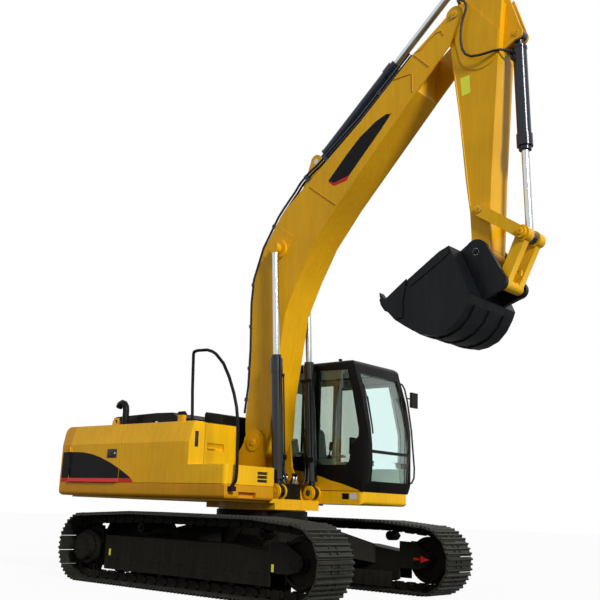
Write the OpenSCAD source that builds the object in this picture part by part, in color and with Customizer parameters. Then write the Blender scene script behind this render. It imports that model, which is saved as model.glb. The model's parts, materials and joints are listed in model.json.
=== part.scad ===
// Crawler excavator with its boom raised, at full size.
// X runs forward, Y to the driver's left, Z up; Z = 0 is the ground under the tracks.
// Side outlines are drawn as (x, z) and pushed out along Y.

/* [Placing] */
// Where the house's turning axis stands along X
swing_x = -510; // [-700:10:-400]

/* [Tracks] */
// Distance between the middles of the two tracks
gauge = 2500; // [2450:10:2600]
// Width of a track shoe
shoe_w = 600; // [500:10:640]
// Half the distance between idler and sprocket
idler_x = 1830; // [1760:10:1900]
// Radius from the idler's axis to the tips of the grousers
loop_r = 430; // [415:5:450]
// Height of a grouser over its shoe
grouser_h = 26; // [15:1:35]
// Thickness of a shoe's plate
shoe_t = 12; // [8:1:16]
// Number of shoes in one track
shoes = 52; // [44:1:54]
// Height of the chain under the shoes
chain_h = 98; // [80:1:105]
// Width of the chain
chain_w = 190; // [150:5:240]
// How far the carrier rollers lift the upper run
top_rise = 48; // [20:2:70]
// Radius of the lower rollers
roller_r = 78; // [65:1:85]
// Radius of the carrier rollers
carrier_r = 62; // [50:1:70]
// Place of the rear carrier roller
carrier_x0 = -850; // [-1000:10:-700]
// Place of the front carrier roller
carrier_x1 = 1230; // [1000:10:1300]
// Width of the side frame's beam
beam_w = 300; // [240:10:340]
// Underside of the side frame's beam
beam_z0 = 275; // [262:1:300]
// Top of the side frame's beam
beam_z1 = 590; // [520:5:600]
// Reach of the side frame's beam to each end
beam_x = 1440; // [1380:10:1460]

/* [Turning ring] */
// Outer radius of the turning ring
ring_r = 600; // [560:5:640]
// Bore of the turning ring
ring_bore = 430; // [380:5:460]
// Underside of the fixed ring
ring_z0 = 860; // [840:5:880]
// Top of the fixed ring
ring_z1 = 975; // [950:5:990]
// Running clearance of the turning ring
ring_gap = 0.5; // [0.3:0.1:2]
// Running clearance of the rollers on the chain
roller_gap = 0.5; // [0.3:0.1:2]

/* [House] */
// Underside of the house
deck_z = 1065; // [1050:5:1080]
// Thickness of the deck
deck_t = 55; // [40:5:70]
// Half width of the house
side_y = 1377; // [1300:1:1400]
// Radius of the tail about the turning axis
tail_r = 2965; // [2900:5:3000]
// Depth of the counterweight from the tail
cw_depth = 530; // [450:5:600]
// Top of the side panels and counterweight
body_z = 2030; // [1990:5:2080]
// Seam between the skirts and the side panels
seam_z = 1262; // [1230:1:1290]
// Lower edge of the skirts
skirt_z = 1085; // [1070:5:1110]
// Depth of the skirts behind the side panels
skirt_w = 100; // [80:5:140]
// Radius of the skirts' lower edges
skirt_r = 55; // [30:5:80]
// Width and depth of the grooves at the seams
groove = 8; // [5:1:12]
// Height at which the side panels lean inward
crease_z = 1770; // [1720:5:1800]
// How far the side panels lean inward
crease_in = 75; // [40:5:110]
// Thickness of the sheet panels
sheet_t = 30; // [20:1:40]
// Gap round each door and lid
door_gap = 8; // [6:1:14]
// Fixed strip between the counterweight and the side doors
door_strip = 15; // [10:1:40]
// Front edge of the side doors
door_x1 = -1330; // [-1400:5:-1300]
// Rear face of the wall in front of the engine
firewall_x = -800; // [-840:5:-780]
// Front of the tall right box
box_x = 0; // [-40:5:40]
// Front of the low step box
step_x = 660; // [600:5:680]
// Top of the low step box
step_z = 1490; // [1400:5:1560]
// Inner side of the right boxes
box_y = -525; // [-560:5:-500]

/* [Cab] */
// Clearance between the cab and the boom cylinder's bracket
cab_gap = 21; // [10:1:40]
// Height of the yellow base under the cab's walls
cab_base_h = 130; // [110:5:160]
// Left side of the cab
cab_y1 = 1450; // [1400:5:1460]
// Top of the cab's roof
cab_z1 = 2975; // [2900:5:3020]
// Front of the cab's base
cab_x1 = 1320; // [1280:5:1360]
// Rear of the cab
cab_x0 = -520; // [-560:5:-480]
// Thickness of the cab's walls
cab_wall = 45; // [35:1:60]
// Radius of the cab's front corners
cab_r = 105; // [90:5:150]
// Thickness of the window glass
glass_t = 6; // [4:1:10]

/* [Boom] */
// Boom foot pin, forward of the turning axis
foot_x = 50; // [20:5:80]
// Boom foot pin's height
foot_z = 1840; // [1800:5:1880]
// Boom nose pin, forward of the turning axis
nose_x = 3090; // [3050:5:3130]
// Boom nose pin's height
nose_z = 7030; // [6980:5:7080]
// Width of the boom
boom_w = 480; // [460:5:486]
// Foot pin of the boom cylinders, forward of the turning axis
lift_x = 565; // [540:5:590]
// Height of the boom cylinders' foot pin
lift_z = 1213; // [1205:1:1240]
// Rod pin of the boom cylinders, forward of the turning axis
eye_x = 336; // [310:2:360]
// Height of the boom cylinders' rod pin
eye_z = 4450; // [4400:10:4500]
// Clearance between the boom's boss and a boom cylinder's rod eye
lift_gap = 17; // [8:1:40]
// Outer radius of the boom cylinders' barrels
lift_r = 76; // [66:1:76]
// Radius of the boom cylinders' rods
lift_rod_r = 44; // [38:1:50]
// Length of the boom cylinders' barrels from pin to gland
lift_len = 1710; // [1690:5:1760]

/* [Arm] */
// Arm cylinder's foot pin, forward of the turning axis
crowd_x = 800; // [770:5:830]
// Height of the arm cylinder's foot pin
crowd_z = 5690; // [5660:5:5720]
// Arm cylinder's rod pin, forward of the turning axis
heel_x = 3303; // [3280:1:3330]
// Height of the arm cylinder's rod pin
heel_z = 7871; // [7840:5:7900]
// Outer radius of the arm cylinder's barrel
crowd_r = 80; // [70:1:85]
// Radius of the arm cylinder's rod
crowd_rod_r = 50; // [44:1:55]
// Length of the arm cylinder's barrel from pin to gland
crowd_len = 1640; // [1600:5:1680]
// Width of the arm
arm_w = 390; // [370:2:394]
// Plate thickness of the boom's and the arm's boxes
plate_t = 16; // [10:1:24]
// Bucket pin at the arm's tip, forward of the turning axis
tip_x = 3370; // [3350:1:3390]
// Height of the bucket pin
tip_z = 3915; // [3900:1:3930]

/* [Bucket] */
// Bucket cylinder's foot pin, forward of the turning axis
curl_x = 3832; // [3815:1:3850]
// Height of the bucket cylinder's foot pin
curl_z = 6591; // [6560:5:6620]
// Outer radius of the bucket cylinder's barrel
curl_r = 82; // [70:1:82]
// Radius of the bucket cylinder's rod
curl_rod_r = 45; // [38:1:50]
// Length of the bucket cylinder's barrel from pin to gland
curl_len = 1430; // [1400:5:1460]
// Pin of the guide links on the arm, forward of the turning axis
guide_x = 3398; // [3390:1:3406]
// Height of the guide links' pin on the arm
guide_z = 4416; // [4400:1:4430]
// Pin that joins guide links, bucket link and cylinder
knee_x = 3905; // [3895:1:3915]
// Height of that pin
knee_z = 4064; // [4055:1:4075]
// Bucket link's pin on the bucket, forward of the turning axis
link_x = 3645; // [3635:1:3655]
// Height of the bucket link's pin on the bucket
link_z = 3530; // [3520:1:3540]
// Width of the bucket's shell
bucket_w = 1060; // [1000:10:1160]
// Thickness of the bucket's plates
bucket_t = 22; // [16:1:30]
// Number of bucket teeth
teeth = 5; // [3:1:6]
// Length of a tooth past the lip
tooth_len = 190; // [120:5:220]

/* [Pins and fits] */
// Radius of the large pins
pin_r = 40; // [34:1:46]
// Running clearance of a pin in its bore
fit = 0.1; // [0.05:0.01:0.1]
// Side clearance between moving pieces
side_gap = 8; // [6:1:10]

/* [Hidden] */
$fn = 48;
foot = [foot_x, foot_z];
nose = [nose_x, nose_z];
lift = [lift_x, lift_z];
eye = [eye_x, eye_z];
crowd = [crowd_x, crowd_z];
heel = [heel_x, heel_z];
tip = [tip_x, tip_z];
curl = [curl_x, curl_z];
guide = [guide_x, guide_z];
knee = [knee_x, knee_z];
link = [link_x, link_z];
deck_top = deck_z + deck_t;
track_y = gauge / 2;
cw_x = cw_depth - tail_r;
door_x0 = cw_x + door_strip;
lug_half = 45;
lug_t = 24;
eye_half = 40;
eye_boss = 38;
lift_y = boom_w / 2 + eye_boss + lift_gap + eye_half;
cab_y0 = lift_y + lug_half + lug_t + cab_gap;
cab_z0 = deck_top + cab_base_h;

function unit(v) = v / norm(v);
function left_of(a, b) = let(d = unit(b - a)) [-d[1], d[0]];
function aim(a, b) = atan2(b[1] - a[1], b[0] - a[0]);
function dir(a) = [cos(a), sin(a)];
function turning(p, i = 0) = i >= len(p) ? 0 :
    let(a = p[i], b = p[(i + 1) % len(p)]) a[0] * b[1] - a[1] * b[0] + turning(p, i + 1);
function inset(p, t) = let(w = turning(p) > 0 ? t : -t) [for (i = [0:len(p) - 1])
    let(n = len(p), u = left_of(p[(i + n - 1) % n], p[i]), v = left_of(p[i], p[(i + 1) % n]))
    p[i] + (u + v) * w / (1 + u * v)];
function arc(c, r, a0, a1, n) = [for (i = [0:n]) c + r * dir(a0 + (a1 - a0) * i / n)];

// An (x, z) outline pushed out from y0 to y1
module side(y0, y1) translate([0, y1, 0]) rotate([90, 0, 0]) linear_extrude(y1 - y0) children();
// The same on both sides of the middle
module sides(y0, y1) { side(y0, y1) children(); side(-y1, -y0) children(); }
// A round bar along Y at point p
module bar_y(p, r, y0, y1) translate([p[0], y1, p[1]]) rotate([90, 0, 0]) cylinder(r = r, h = y1 - y0);
// A round bar from a to b in space
module rod(a, b, r) {
    v = b - a;
    translate(a) rotate([0, acos(v[2] / norm(v)), atan2(v[1], v[0])]) cylinder(r = r, h = norm(v));
}
// A hinge on a wall: the wall is y = 0, the fixed leaf lies towards -x, the moving leaf towards +x
hinge_r = 11;
hinge_pin = 6;
hinge_len = 100;
module hinge_fixed() {
    for (z = [0, hinge_len * 0.7]) translate([0, 0, z]) {
        translate([0, hinge_r, 0]) cylinder(r = hinge_r, h = hinge_len * 0.3);
        translate([-30, 0, 0]) cube([30, hinge_pin, hinge_len * 0.3]);
    }
    translate([0, hinge_r, 0]) cylinder(r = hinge_pin, h = hinge_len);
}
module hinge_moving() difference() {
    union() {
        translate([0, hinge_r, hinge_len * 0.3 + 0.3]) cylinder(r = hinge_r - 0.5, h = hinge_len * 0.4 - 0.6);
        translate([0, 0.5, hinge_len * 0.3 + 0.3]) cube([30, hinge_pin, hinge_len * 0.4 - 0.6]);
        translate([8, -1, hinge_len * 0.3 + 0.3]) cube([22, 2, hinge_len * 0.4 - 0.6]);
    }
    translate([0, hinge_r, -1]) cylinder(r = hinge_pin + fit, h = hinge_len + 2);
}
// A tube swept along points p; up is a direction that the path never takes
module tube(p, r, sides = 10, up = [0, 1, 0]) {
    n = len(p);
    rings = [for (i = [0:n - 1])
        let(a = p[max(i - 1, 0)], c = p[min(i + 1, n - 1)], b = p[i],
            t = unit(i == 0 ? c - b : i == n - 1 ? b - a : unit(b - a) + unit(c - b)),
            u = unit(cross(up, t)), v = cross(t, u),
            k = i == 0 || i == n - 1 ? 1 : 1 / (t * unit(c - b)),
            d = i == 0 || i == n - 1 ? u : unit(unit(c - b) - unit(b - a) + 1e-6 * u))
            for (j = [0:sides - 1]) let(w = r * (cos(360 * j / sides) * u + sin(360 * j / sides) * v)) b + w + (k - 1) * (w * d) * d];
    polyhedron(rings, concat([[for (j = [0:sides - 1]) j]],
        [for (i = [0:n - 2], j = [0:sides - 1]) let(a = i * sides + j, b = i * sides + (j + 1) % sides) [a, a + sides, b + sides, b]],
        [[for (j = [sides - 1:-1:0]) (n - 1) * sides + j]]));
}
// Outline of a plate that wraps two round ends
module strap(p, rp, q, rq) {
    a = aim(p, q);
    s = asin((rp - rq) / norm(q - p));
    polygon([p + rp * dir(a + 90 - s), p + rp * dir(a - 90 + s), q + rq * dir(a - 90 + s), q + rq * dir(a + 90 - s)]);
    translate(p) circle(rp);
    translate(q) circle(rq);
}
module at_swing() translate([swing_x, 0, 0]) children();
module box(x0, x1, y0, y1, z0, z1) translate([x0, y0, z0]) cube([x1 - x0, y1 - y0, z1 - z0]);

// Track loop: its path runs along the shoes' outer faces
path_r = loop_r - grouser_h;
path_z = loop_r;
low_z = path_z - path_r;
high_z = path_z + path_r;
run_len = 2 * idler_x;
arc_len = PI * path_r;
top_pts = [[idler_x, high_z], [carrier_x1, high_z + top_rise], [carrier_x0, high_z + top_rise], [-idler_x, high_z]];
top_seg = [for (i = [0:2]) norm(top_pts[i + 1] - top_pts[i])];
loop_len = run_len + 2 * arc_len + top_seg[0] + top_seg[1] + top_seg[2];
function on_line(a, b, s) = let(d = unit(b - a)) [a + d * s, [d[1], -d[0]]];
function on_loop(s) =
    s < run_len ? on_line([-idler_x, low_z], [idler_x, low_z], s) :
    s < run_len + arc_len ? let(a = -90 + 180 * (s - run_len) / arc_len) [[idler_x, path_z] + path_r * dir(a), dir(a)] :
    s < run_len + arc_len + top_seg[0] ? on_line(top_pts[0], top_pts[1], s - run_len - arc_len) :
    s < run_len + arc_len + top_seg[0] + top_seg[1] ? on_line(top_pts[1], top_pts[2], s - run_len - arc_len - top_seg[0]) :
    s < run_len + arc_len + top_seg[0] + top_seg[1] + top_seg[2] ?
        on_line(top_pts[2], top_pts[3], s - run_len - arc_len - top_seg[0] - top_seg[1]) :
    let(a = 90 + 180 * (s - loop_len + arc_len) / arc_len) [[-idler_x, path_z] + path_r * dir(a), dir(a)];
pitch = loop_len / shoes;
bar_half = 9;
function grouser(s) = [for (k = [[-2.2, 0], [-1, 1], [1, 1], [2.2, 0]])
    let(q = on_loop(s + k[0] * bar_half)) q[0] + q[1] * grouser_h * k[1]];
function loop_points() = [for (i = [0:shoes - 1], k = [1, 3, 5], p = grouser((i + k / 6) * pitch)) p];
function loop_inner(t) = concat(
    [[-idler_x, low_z + t]], arc([idler_x, path_z], path_r - t, -90, 90, 14),
    [top_pts[1] - [0, t], top_pts[2] - [0, t]], arc([-idler_x, path_z], path_r - t, 90, 270, 14));

module track(s) color("dimgray") at_swing() {
    side(s * track_y - shoe_w / 2, s * track_y + shoe_w / 2) difference() {
        polygon(loop_points());
        polygon(loop_inner(shoe_t));
    }
    side(s * track_y - chain_w / 2, s * track_y + chain_w / 2) difference() {
        polygon(loop_inner(shoe_t));
        polygon(loop_inner(shoe_t + chain_h));
    }
}

module track_left() track(1);
module track_right() track(-1);

// Wheels stand clear of the chain's chords
tread_r = (path_r - shoe_t - chain_h) * cos(90 / 14) - roller_gap;
chain_low = low_z + shoe_t + chain_h;
chain_high = high_z + top_rise - shoe_t - chain_h;
roller_z = chain_low + roller_r + roller_gap;
carrier_z = chain_high - carrier_r - roller_gap;

module idlers() color("dimgray") at_swing() for (s = [-1, 1]) difference() {
    union() {
        bar_y([idler_x, path_z], tread_r, s * track_y - 50, s * track_y + 50);
        bar_y([idler_x, path_z], tread_r - 30, s * track_y - 85, s * track_y + 85);
        bar_y([idler_x, path_z], 76, s * track_y - beam_w / 2, s * track_y + beam_w / 2);
    }
    for (t = [-1, 1]) side(s * track_y + (t > 0 ? 45 : -86), s * track_y + (t > 0 ? 86 : -45))
        difference() { translate([idler_x, path_z]) circle(tread_r - 60); translate([idler_x, path_z]) circle(95); }
}

module sprockets() color("dimgray") at_swing() for (s = [-1, 1]) {
    side(s * track_y - 38, s * track_y + 38) translate([-idler_x, path_z])
        polygon([for (i = [0:20], k = [[-0.34, -46], [-0.16, 0], [0.16, 0], [0.34, -46]])
            (tread_r + k[1]) * dir((i + k[0]) * 360 / 21)]);
    bar_y([-idler_x, path_z], 215, s * track_y - beam_w / 2, s * track_y + beam_w / 2);
    bar_y([-idler_x, path_z], 165, s * track_y + (s > 0 ? 150 : -235), s * track_y + (s > 0 ? 235 : -150));
}

roller_n = 7;
module rollers() color("dimgray") at_swing() for (s = [-1, 1]) {
    for (i = [0:roller_n - 1]) {
        x = -1230 + i * 2460 / (roller_n - 1);
        bar_y([x, roller_z], roller_r, s * track_y - 90, s * track_y + 90);
        bar_y([x, roller_z], 32, s * track_y - 150, s * track_y + 150);
    }
    for (x = [carrier_x0, carrier_x1]) {
        bar_y([x, carrier_z], carrier_r, s * track_y - 80, s * track_y + 80);
        bar_y([x, carrier_z], 26, s * track_y - 110, s * track_y + 150);
    }
}

// Side frames: a channel over the rollers, with forks for the idlers and hubs for the drives
module side_frames() color("darkslategray") at_swing() for (s = [-1, 1]) {
    y0 = s * track_y - beam_w / 2;
    y1 = s * track_y + beam_w / 2;
    top = [[-beam_x, beam_z0 + 90], [beam_x, beam_z0 + 90], [beam_x, beam_z1 - 70], [900, beam_z1], [-beam_x, beam_z1]];
    side(y0, y1) polygon(top);
    for (y = [y0, y1 - 30]) side(y, y + 30) difference() {
        polygon([[beam_x, beam_z0 + 40], [beam_x, beam_z1 + 60], [idler_x - 190, beam_z1 + 55], [idler_x - 90, beam_z1],
            [idler_x + 60, path_z + 80], [idler_x + 85, path_z], [idler_x + 40, path_z - 75], [idler_x - 130, beam_z0 + 40]]);
        translate([idler_x, path_z]) circle(76);
    }
    side(s > 0 ? y0 - 30 : y1, s > 0 ? y0 : y1 + 30)
        polygon([[-beam_x + 200, beam_z0 + 90], [-beam_x + 200, beam_z1], [-idler_x - 60, path_z + 200], [-idler_x - 200, path_z], [-idler_x - 60, path_z - 200]]);
    for (y = [y0 - 1, y1 - 31]) side(y + 1, y + 31) difference() {
        polygon([[-beam_x, roller_z - 40], [beam_x, roller_z - 40], [beam_x, beam_z0 + 90], [-beam_x, beam_z0 + 90]]);
        for (i = [0:roller_n - 1]) translate([-1230 + i * 2460 / (roller_n - 1), roller_z]) circle(32);
    }
}

module car_body() color("darkslategray") at_swing() {
    difference() {
        union() {
            translate([0, 0, 470]) cylinder(r = 560, h = ring_z0 - 470);
            for (sx = [-1, 1], sy = [-1, 1]) leg(sx, sy);
        }
        translate([0, 0, 469]) cylinder(r = 200, h = 500);
    }
}
// One leg of the X frame, sloping down to its side frame
module leg(sx, sy) intersection() {
    linear_extrude(900) polygon(sx * sy > 0 ?
        [[sx * 180, sy * 480], [sx * 480, sy * 180], [sx * 1060, sy * (track_y - beam_w / 2)], [sx * 620, sy * (track_y - beam_w / 2)]] :
        [[sx * 480, sy * 180], [sx * 180, sy * 480], [sx * 620, sy * (track_y - beam_w / 2)], [sx * 1060, sy * (track_y - beam_w / 2)]]);
    translate([-1500, 0, 0]) rotate([90, 0, 90]) linear_extrude(3000)
        polygon([[0, 470], [sy * 500, 470], [sy * 1200, 330], [sy * 1200, 560], [sy * 500, 800], [0, 800]]);
}

module slew_ring() color("dimgray") at_swing() translate([0, 0, ring_z0]) difference() {
    cylinder(r = ring_r, h = ring_z1 - ring_z0, $fn = 96);
    translate([0, 0, -1]) cylinder(r = ring_bore, h = ring_z1 - ring_z0 + 2, $fn = 96);
}

// House frame: deck, turning boss, towers of the boom foot and brackets of the boom cylinders
tower_y = boom_w / 2 + 15;
tower_t = 30;
frame_y = 430;
frame_x0 = -620;
frame_x1 = 610;
frame_z = ring_z1 + 15;
boss_t = 12;
module upper_frame() color("goldenrod") at_swing() {
    difference() {
        union() {
            translate([0, 0, ring_z1 + ring_gap]) cylinder(r = ring_r - 20, h = deck_z - ring_z1 - ring_gap, $fn = 96);
            translate([0, 0, ring_z0 + 10]) cylinder(r = ring_bore - ring_gap, h = deck_z - ring_z0 - 10, $fn = 96);
            box(cw_x, box_x, -side_y + skirt_w, side_y - skirt_w, deck_z, deck_top);
            box(box_x, step_x - skirt_w, -side_y + skirt_w, box_y, deck_z, deck_top);
            box(box_x, frame_x1, box_y, cab_y0, deck_z, deck_top);
            box(frame_x0, frame_x1, -frame_y, frame_y, frame_z, deck_z + 1);
        }
        translate([0, 0, ring_z0]) cylinder(r = 180, h = 300);
    }
    difference() {
        union() {
            sides(tower_y, tower_y + tower_t) {
                polygon([[-620, deck_top], [foot_x - 175, foot_z], [foot_x + 175, foot_z],
                    [foot_x + 215, foot_z - 300], [lift_x - 150, lift_z + 60], [lift_x - 100, deck_top]]);
                translate(foot) circle(175);
            }
            sides(tower_y + tower_t - 1, tower_y + tower_t + boss_t) translate(foot) circle(110);
            sides(lift_y + lug_half + lug_t - 2, lift_y + lug_half + lug_t + boss_t) translate(lift) circle(78);
            sides(lift_y - lug_half - lug_t - boss_t, lift_y - lug_half - lug_t + 2) translate(lift) circle(78);
            for (y = [lift_y - lug_half - lug_t, lift_y + lug_half]) sides(y + (y < lift_y ? -1 : 1), y + lug_t + (y < lift_y ? -1 : 1)) {
                translate(lift) circle(95);
                polygon([[lift_x - 160, deck_top - 1], [frame_x1, deck_top - 1], [lift_x + 93, lift_z - 20], [lift_x - 95, lift_z]]);
            }
        }
        bar_y(foot, pin_r + 10 + fit, -400, 400);
        bar_y(lift, pin_r + fit, -500, 500);
    }
}
module foot_pins() color("silver") at_swing() {
    bar_y(foot, pin_r + 10, -tower_y - tower_t - boss_t, tower_y + tower_t + boss_t);
    for (s = [-1, 1]) bar_y(lift, pin_r, s * lift_y - lug_half - lug_t - boss_t, s * lift_y + lug_half + lug_t + boss_t);
}

// Outline of the house across, in (y, z): rounded below, leaning inward above
function house_section(y) = concat(arc([y - skirt_r, skirt_z + skirt_r], skirt_r, -90, 0, 6),
    [[y, crease_z], [y - crease_in, body_z], [crease_in - y, body_z], [-y, crease_z]], arc([skirt_r - y, skirt_z + skirt_r], skirt_r, 180, 270, 6));
module across(x0, x1) translate([x0, 0, 0]) rotate([90, 0, 90]) linear_extrude(x1 - x0) children();
module panel(x0, x1, s, z0) across(x0, x1)
    polygon([[s * side_y, z0], [s * side_y, crease_z], [s * (side_y - crease_in), body_z],
        [s * (side_y - crease_in - sheet_t), body_z], [s * (side_y - sheet_t), crease_z], [s * (side_y - sheet_t), z0]]);
// The groove that marks the seam along both sides
module seam_groove(x0, x1) for (s = [-1, 1])
    box(x0, x1, s > 0 ? side_y - groove : -side_y - 1, s > 0 ? side_y + 1 : -side_y + groove, seam_z - groove, seam_z);

tail_low_r = 65;
tail_top_r = 95;
module counterweight() color("goldenrod") at_swing() difference() {
    intersection() {
        rotate_extrude($fn = 160) polygon(concat([[0, skirt_z]], arc([tail_r - tail_low_r, skirt_z + tail_low_r], tail_low_r, -90, 0, 8),
            arc([tail_r - tail_top_r, body_z - tail_top_r], tail_top_r, 0, 90, 8), [[0, body_z]]));
        box(-tail_r - 10, cw_x, -side_y, side_y, skirt_z - 1, body_z + 1);
        across(-tail_r - 10, cw_x) polygon(house_section(side_y));
    }
    seam_groove(-tail_r, cw_x + 1);
}

// Skirts below the seam: right side and round the front of the step box, left side up to the cab
module skirts() color("goldenrod") at_swing() {
    skirt_wall(-1, step_x);
    skirt_wall(1, cab_x0 - door_gap);
}
// One side's skirt from the counterweight forward to x1; the right one closes the front of the step box
module skirt_wall(s, x1) difference() {
    intersection() {
        across(cw_x, x1) polygon(house_section(side_y));
        side(-side_y, side_y) polygon(concat([[cw_x, skirt_z]], arc([x1 - skirt_r, skirt_z + skirt_r], skirt_r, -90, 0, 6), [[x1, seam_z], [cw_x, seam_z]]));
        box(cw_x, x1, s > 0 ? 0 : -side_y, s > 0 ? side_y : box_y, 0, 3000);
    }
    box(cw_x - 1, s > 0 ? x1 + 1 : x1 - skirt_w, s > 0 ? -1 : -side_y + skirt_w, s > 0 ? side_y - skirt_w : 1, 0, 3000);
    seam_groove(cw_x - 1, x1 + 1);
    if (s < 0) {
        box(x1 - groove, x1 + 1, -side_y - 1, box_y + 1, seam_z - groove, seam_z);
        box(x1 - 60, x1 + 1, -1140, -838, 1110, 1176);
    }
}

module body_panels() color("goldenrod") at_swing() {
    for (s = [-1, 1]) panel(door_x1 + door_gap, s < 0 ? firewall_x : cab_x0 - 30, s, seam_z);
    for (s = [-1, 1]) panel(cw_x, door_x0 - door_gap, s, seam_z);
    difference() {
        box(cw_x, cab_x0 - 30, -side_y + crease_in + sheet_t / 2, side_y - crease_in - sheet_t / 2, body_z - sheet_t, body_z);
        box(hood_x0 - door_gap, hood_x1 + door_gap, hood_y0 - door_gap, hood_y1 + door_gap, body_z - 100, body_z + 100);
        box(firewall_x + sheet_t, 100, -side_y, box_y, body_z - 100, body_z + 100);
        box(cover_x0 - door_gap, 100, box_y - 1, cover_y1 + door_gap, body_z - 100, body_z + 100);
        for (s = [-1, 1]) box(door_x0 - door_gap, door_x1 + door_gap, s > 0 ? side_y - crease_in - sheet_t - door_gap : -side_y,
            s > 0 ? side_y : crease_in + sheet_t + door_gap - side_y, body_z - 100, body_z + 100);
    }
    for (t = [0, 1], z = [seam_z + 100, crease_z - 130]) mirror([0, t, 0]) translate([door_x0 - door_gap / 2, side_y, z]) hinge_fixed();
    for (y = [-700, 600]) translate([hood_x1 + hinge_r + 1, y, body_z]) rotate([90, 0, 180]) hinge_fixed();
    box(firewall_x, firewall_x + sheet_t, -side_y + sheet_t + crease_in, side_y - sheet_t - crease_in, deck_top, body_z - sheet_t);
    // Lifting lugs on the roof
    for (y = [-1010, 1010]) side(y - 14, y + 14) difference() {
        polygon([[lug_x - 95, body_z - 1], [lug_x + 95, body_z - 1], [lug_x + 45, body_z + 135], [lug_x - 45, body_z + 135]]);
        translate([lug_x, body_z + 80]) circle(lug_eye);
    }
}
lug_x = -1930;
lug_eye = 30;

hood_x0 = cw_x + 235;
hood_x1 = firewall_x - 10;
hood_y0 = -880;
hood_y1 = 880;
hood_z = body_z + 190;
hood_low = body_z - sheet_t + 1;
hood_t = 28;
module engine_hood() color("dimgray") at_swing() {
    for (y = [-700, 600]) translate([hood_x1 + hinge_r + 1, y, body_z]) rotate([90, 0, 180]) hinge_moving();
    hood_shell();
}
module hood_shell() difference() {
    side(hood_y0, hood_y1) polygon(concat([[hood_x0, hood_low], [hood_x1, hood_low], [hood_x1, body_z + 120], [hood_x1 - 90, hood_z - 8], [hood_x1 - 420, hood_z]],
        arc([hood_x0 + 110, hood_z - 125], 105, 95, 180, 6)));
    side(hood_y0 + hood_t, hood_y1 - hood_t) polygon([[hood_x0 + hood_t, hood_low - 10], [hood_x1 - hood_t, hood_low - 10],
        [hood_x1 - hood_t, body_z + 95], [hood_x1 - 110, hood_z - 38], [hood_x1 - 420, hood_z - hood_t], [hood_x0 + 100, hood_z - 55], [hood_x0 + hood_t, hood_z - 130]]);
    for (y = [hood_y0 + 180 : 160 : hood_y1 - 340], x = [0, 1]) box(hood_x0 + 350 + x * 420, hood_x0 + 650 + x * 420, y, y + 60, hood_z - 60, hood_z + 10);
}

module side_door(s) at_swing() {
    panel(door_x0, door_x1, s, seam_z + door_gap);
    for (z = [seam_z + 100, crease_z - 130]) mirror([0, s < 0 ? 1 : 0, 0]) translate([door_x0 - door_gap / 2, side_y, z]) hinge_moving();
}
module door_right() color("goldenrod") side_door(-1);
module door_left() color("goldenrod") side_door(1);

box_skin = 60;
module fuel_tank() color("goldenrod") at_swing() {
    across(firewall_x + sheet_t, box_x - box_skin) polygon([[-side_y + skirt_w, deck_top], [-side_y + skirt_w, seam_z], [-side_y, seam_z], [-side_y, crease_z],
        [-side_y + crease_in, body_z], [box_y, body_z], [box_y, deck_top]]);
    translate([filler_x, filler_y, body_z - 1]) cylinder(r = filler_r, h = 105);
}
filler_x = -435;
filler_y = -1130;
filler_r = 55;
module filler_cap() color("black") at_swing() {
    translate([filler_x, filler_y, body_z + 104]) cylinder(r = filler_r + 6, h = 30);
    translate([filler_x - 60, filler_y - 9, body_z + 134]) cube([120, 18, 16]);
}
// Step box: rounded at its outer front corner, seamed, with a slatted vent in its front
vent_y0 = -824;
vent_y1 = -643;
vent_z0 = 1303;
vent_z1 = 1432;
module step_box() color("gold") at_swing() difference() {
    translate([0, 0, seam_z]) linear_extrude(step_z - seam_z)
        polygon(concat([[box_x - box_skin, -side_y]], arc([step_x - skirt_r, -side_y + skirt_r], skirt_r, -90, 0, 6), [[step_x, box_y], [box_x - box_skin, box_y]]));
    box(step_x - groove, step_x + 1, -1264, -1258, seam_z - 1, step_z + 1);
    box(box_x - 106, box_x - 100, -side_y - 1, -side_y + groove, seam_z - 1, step_z + 1);
    for (i = [0:2]) box(step_x - 25, step_x + 1, vent_y0, vent_y1, vent_z0 + i * 46, vent_z0 + i * 46 + 34);
    translate([step_x - 160, -side_y - 1, 1430]) rotate([-90, 0, 0]) cylinder(r = 9, h = 12);
}
strip_w = 32;
module box_hinges() for (z = [step_z + 60, body_z - 160])
    translate([box_x, box_y - strip_w - door_gap / 2, z]) rotate([0, 0, -90]) children();
door_seam_y = -1112;
module box_door() color("gold") at_swing() {
    difference() {
        box(box_x - 50, box_x, door_seam_y + door_gap / 2, box_y - strip_w - door_gap, step_z + door_gap, body_z - door_gap);
        side(-1073, -770) polygon([[box_x - 35, 1722], [box_x - 12, 1768], [box_x + 1, 1772], [box_x + 1, 1680], [box_x - 28, 1686]]);
    }
    box(box_x - 42, box_x - 4, -1040, -900, 1700, 1716);
    box_hinges() hinge_moving();
}
module box_frame() color("gold") at_swing() {
    difference() {
        across(box_x - box_skin, box_x) polygon([[-side_y, step_z], [-side_y, crease_z], [-side_y + crease_in, body_z], [door_seam_y - door_gap / 2, body_z], [door_seam_y - door_gap / 2, step_z]]);
        box(box_x - 25, box_x + 1, -1266, -1244, 1715, 1902);
    }
    box(box_x - box_skin, box_x, box_y - strip_w, box_y, step_z, body_z);
    box_hinges() hinge_fixed();
}
// Non-slip strips on the box, on the step and on the tank
strip_t = 3;
module tread_strips() color("black") at_swing() {
    box(box_x - 55, box_x - 8, -side_y + crease_in + 60, box_y - 20, body_z, body_z + strip_t);
    box(box_x + 40, step_x - 60, -side_y + 60, box_y - 60, step_z, step_z + strip_t);
    box(-300, -110, -side_y + crease_in + 40, box_y - 60, body_z, body_z + strip_t);
}
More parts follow.
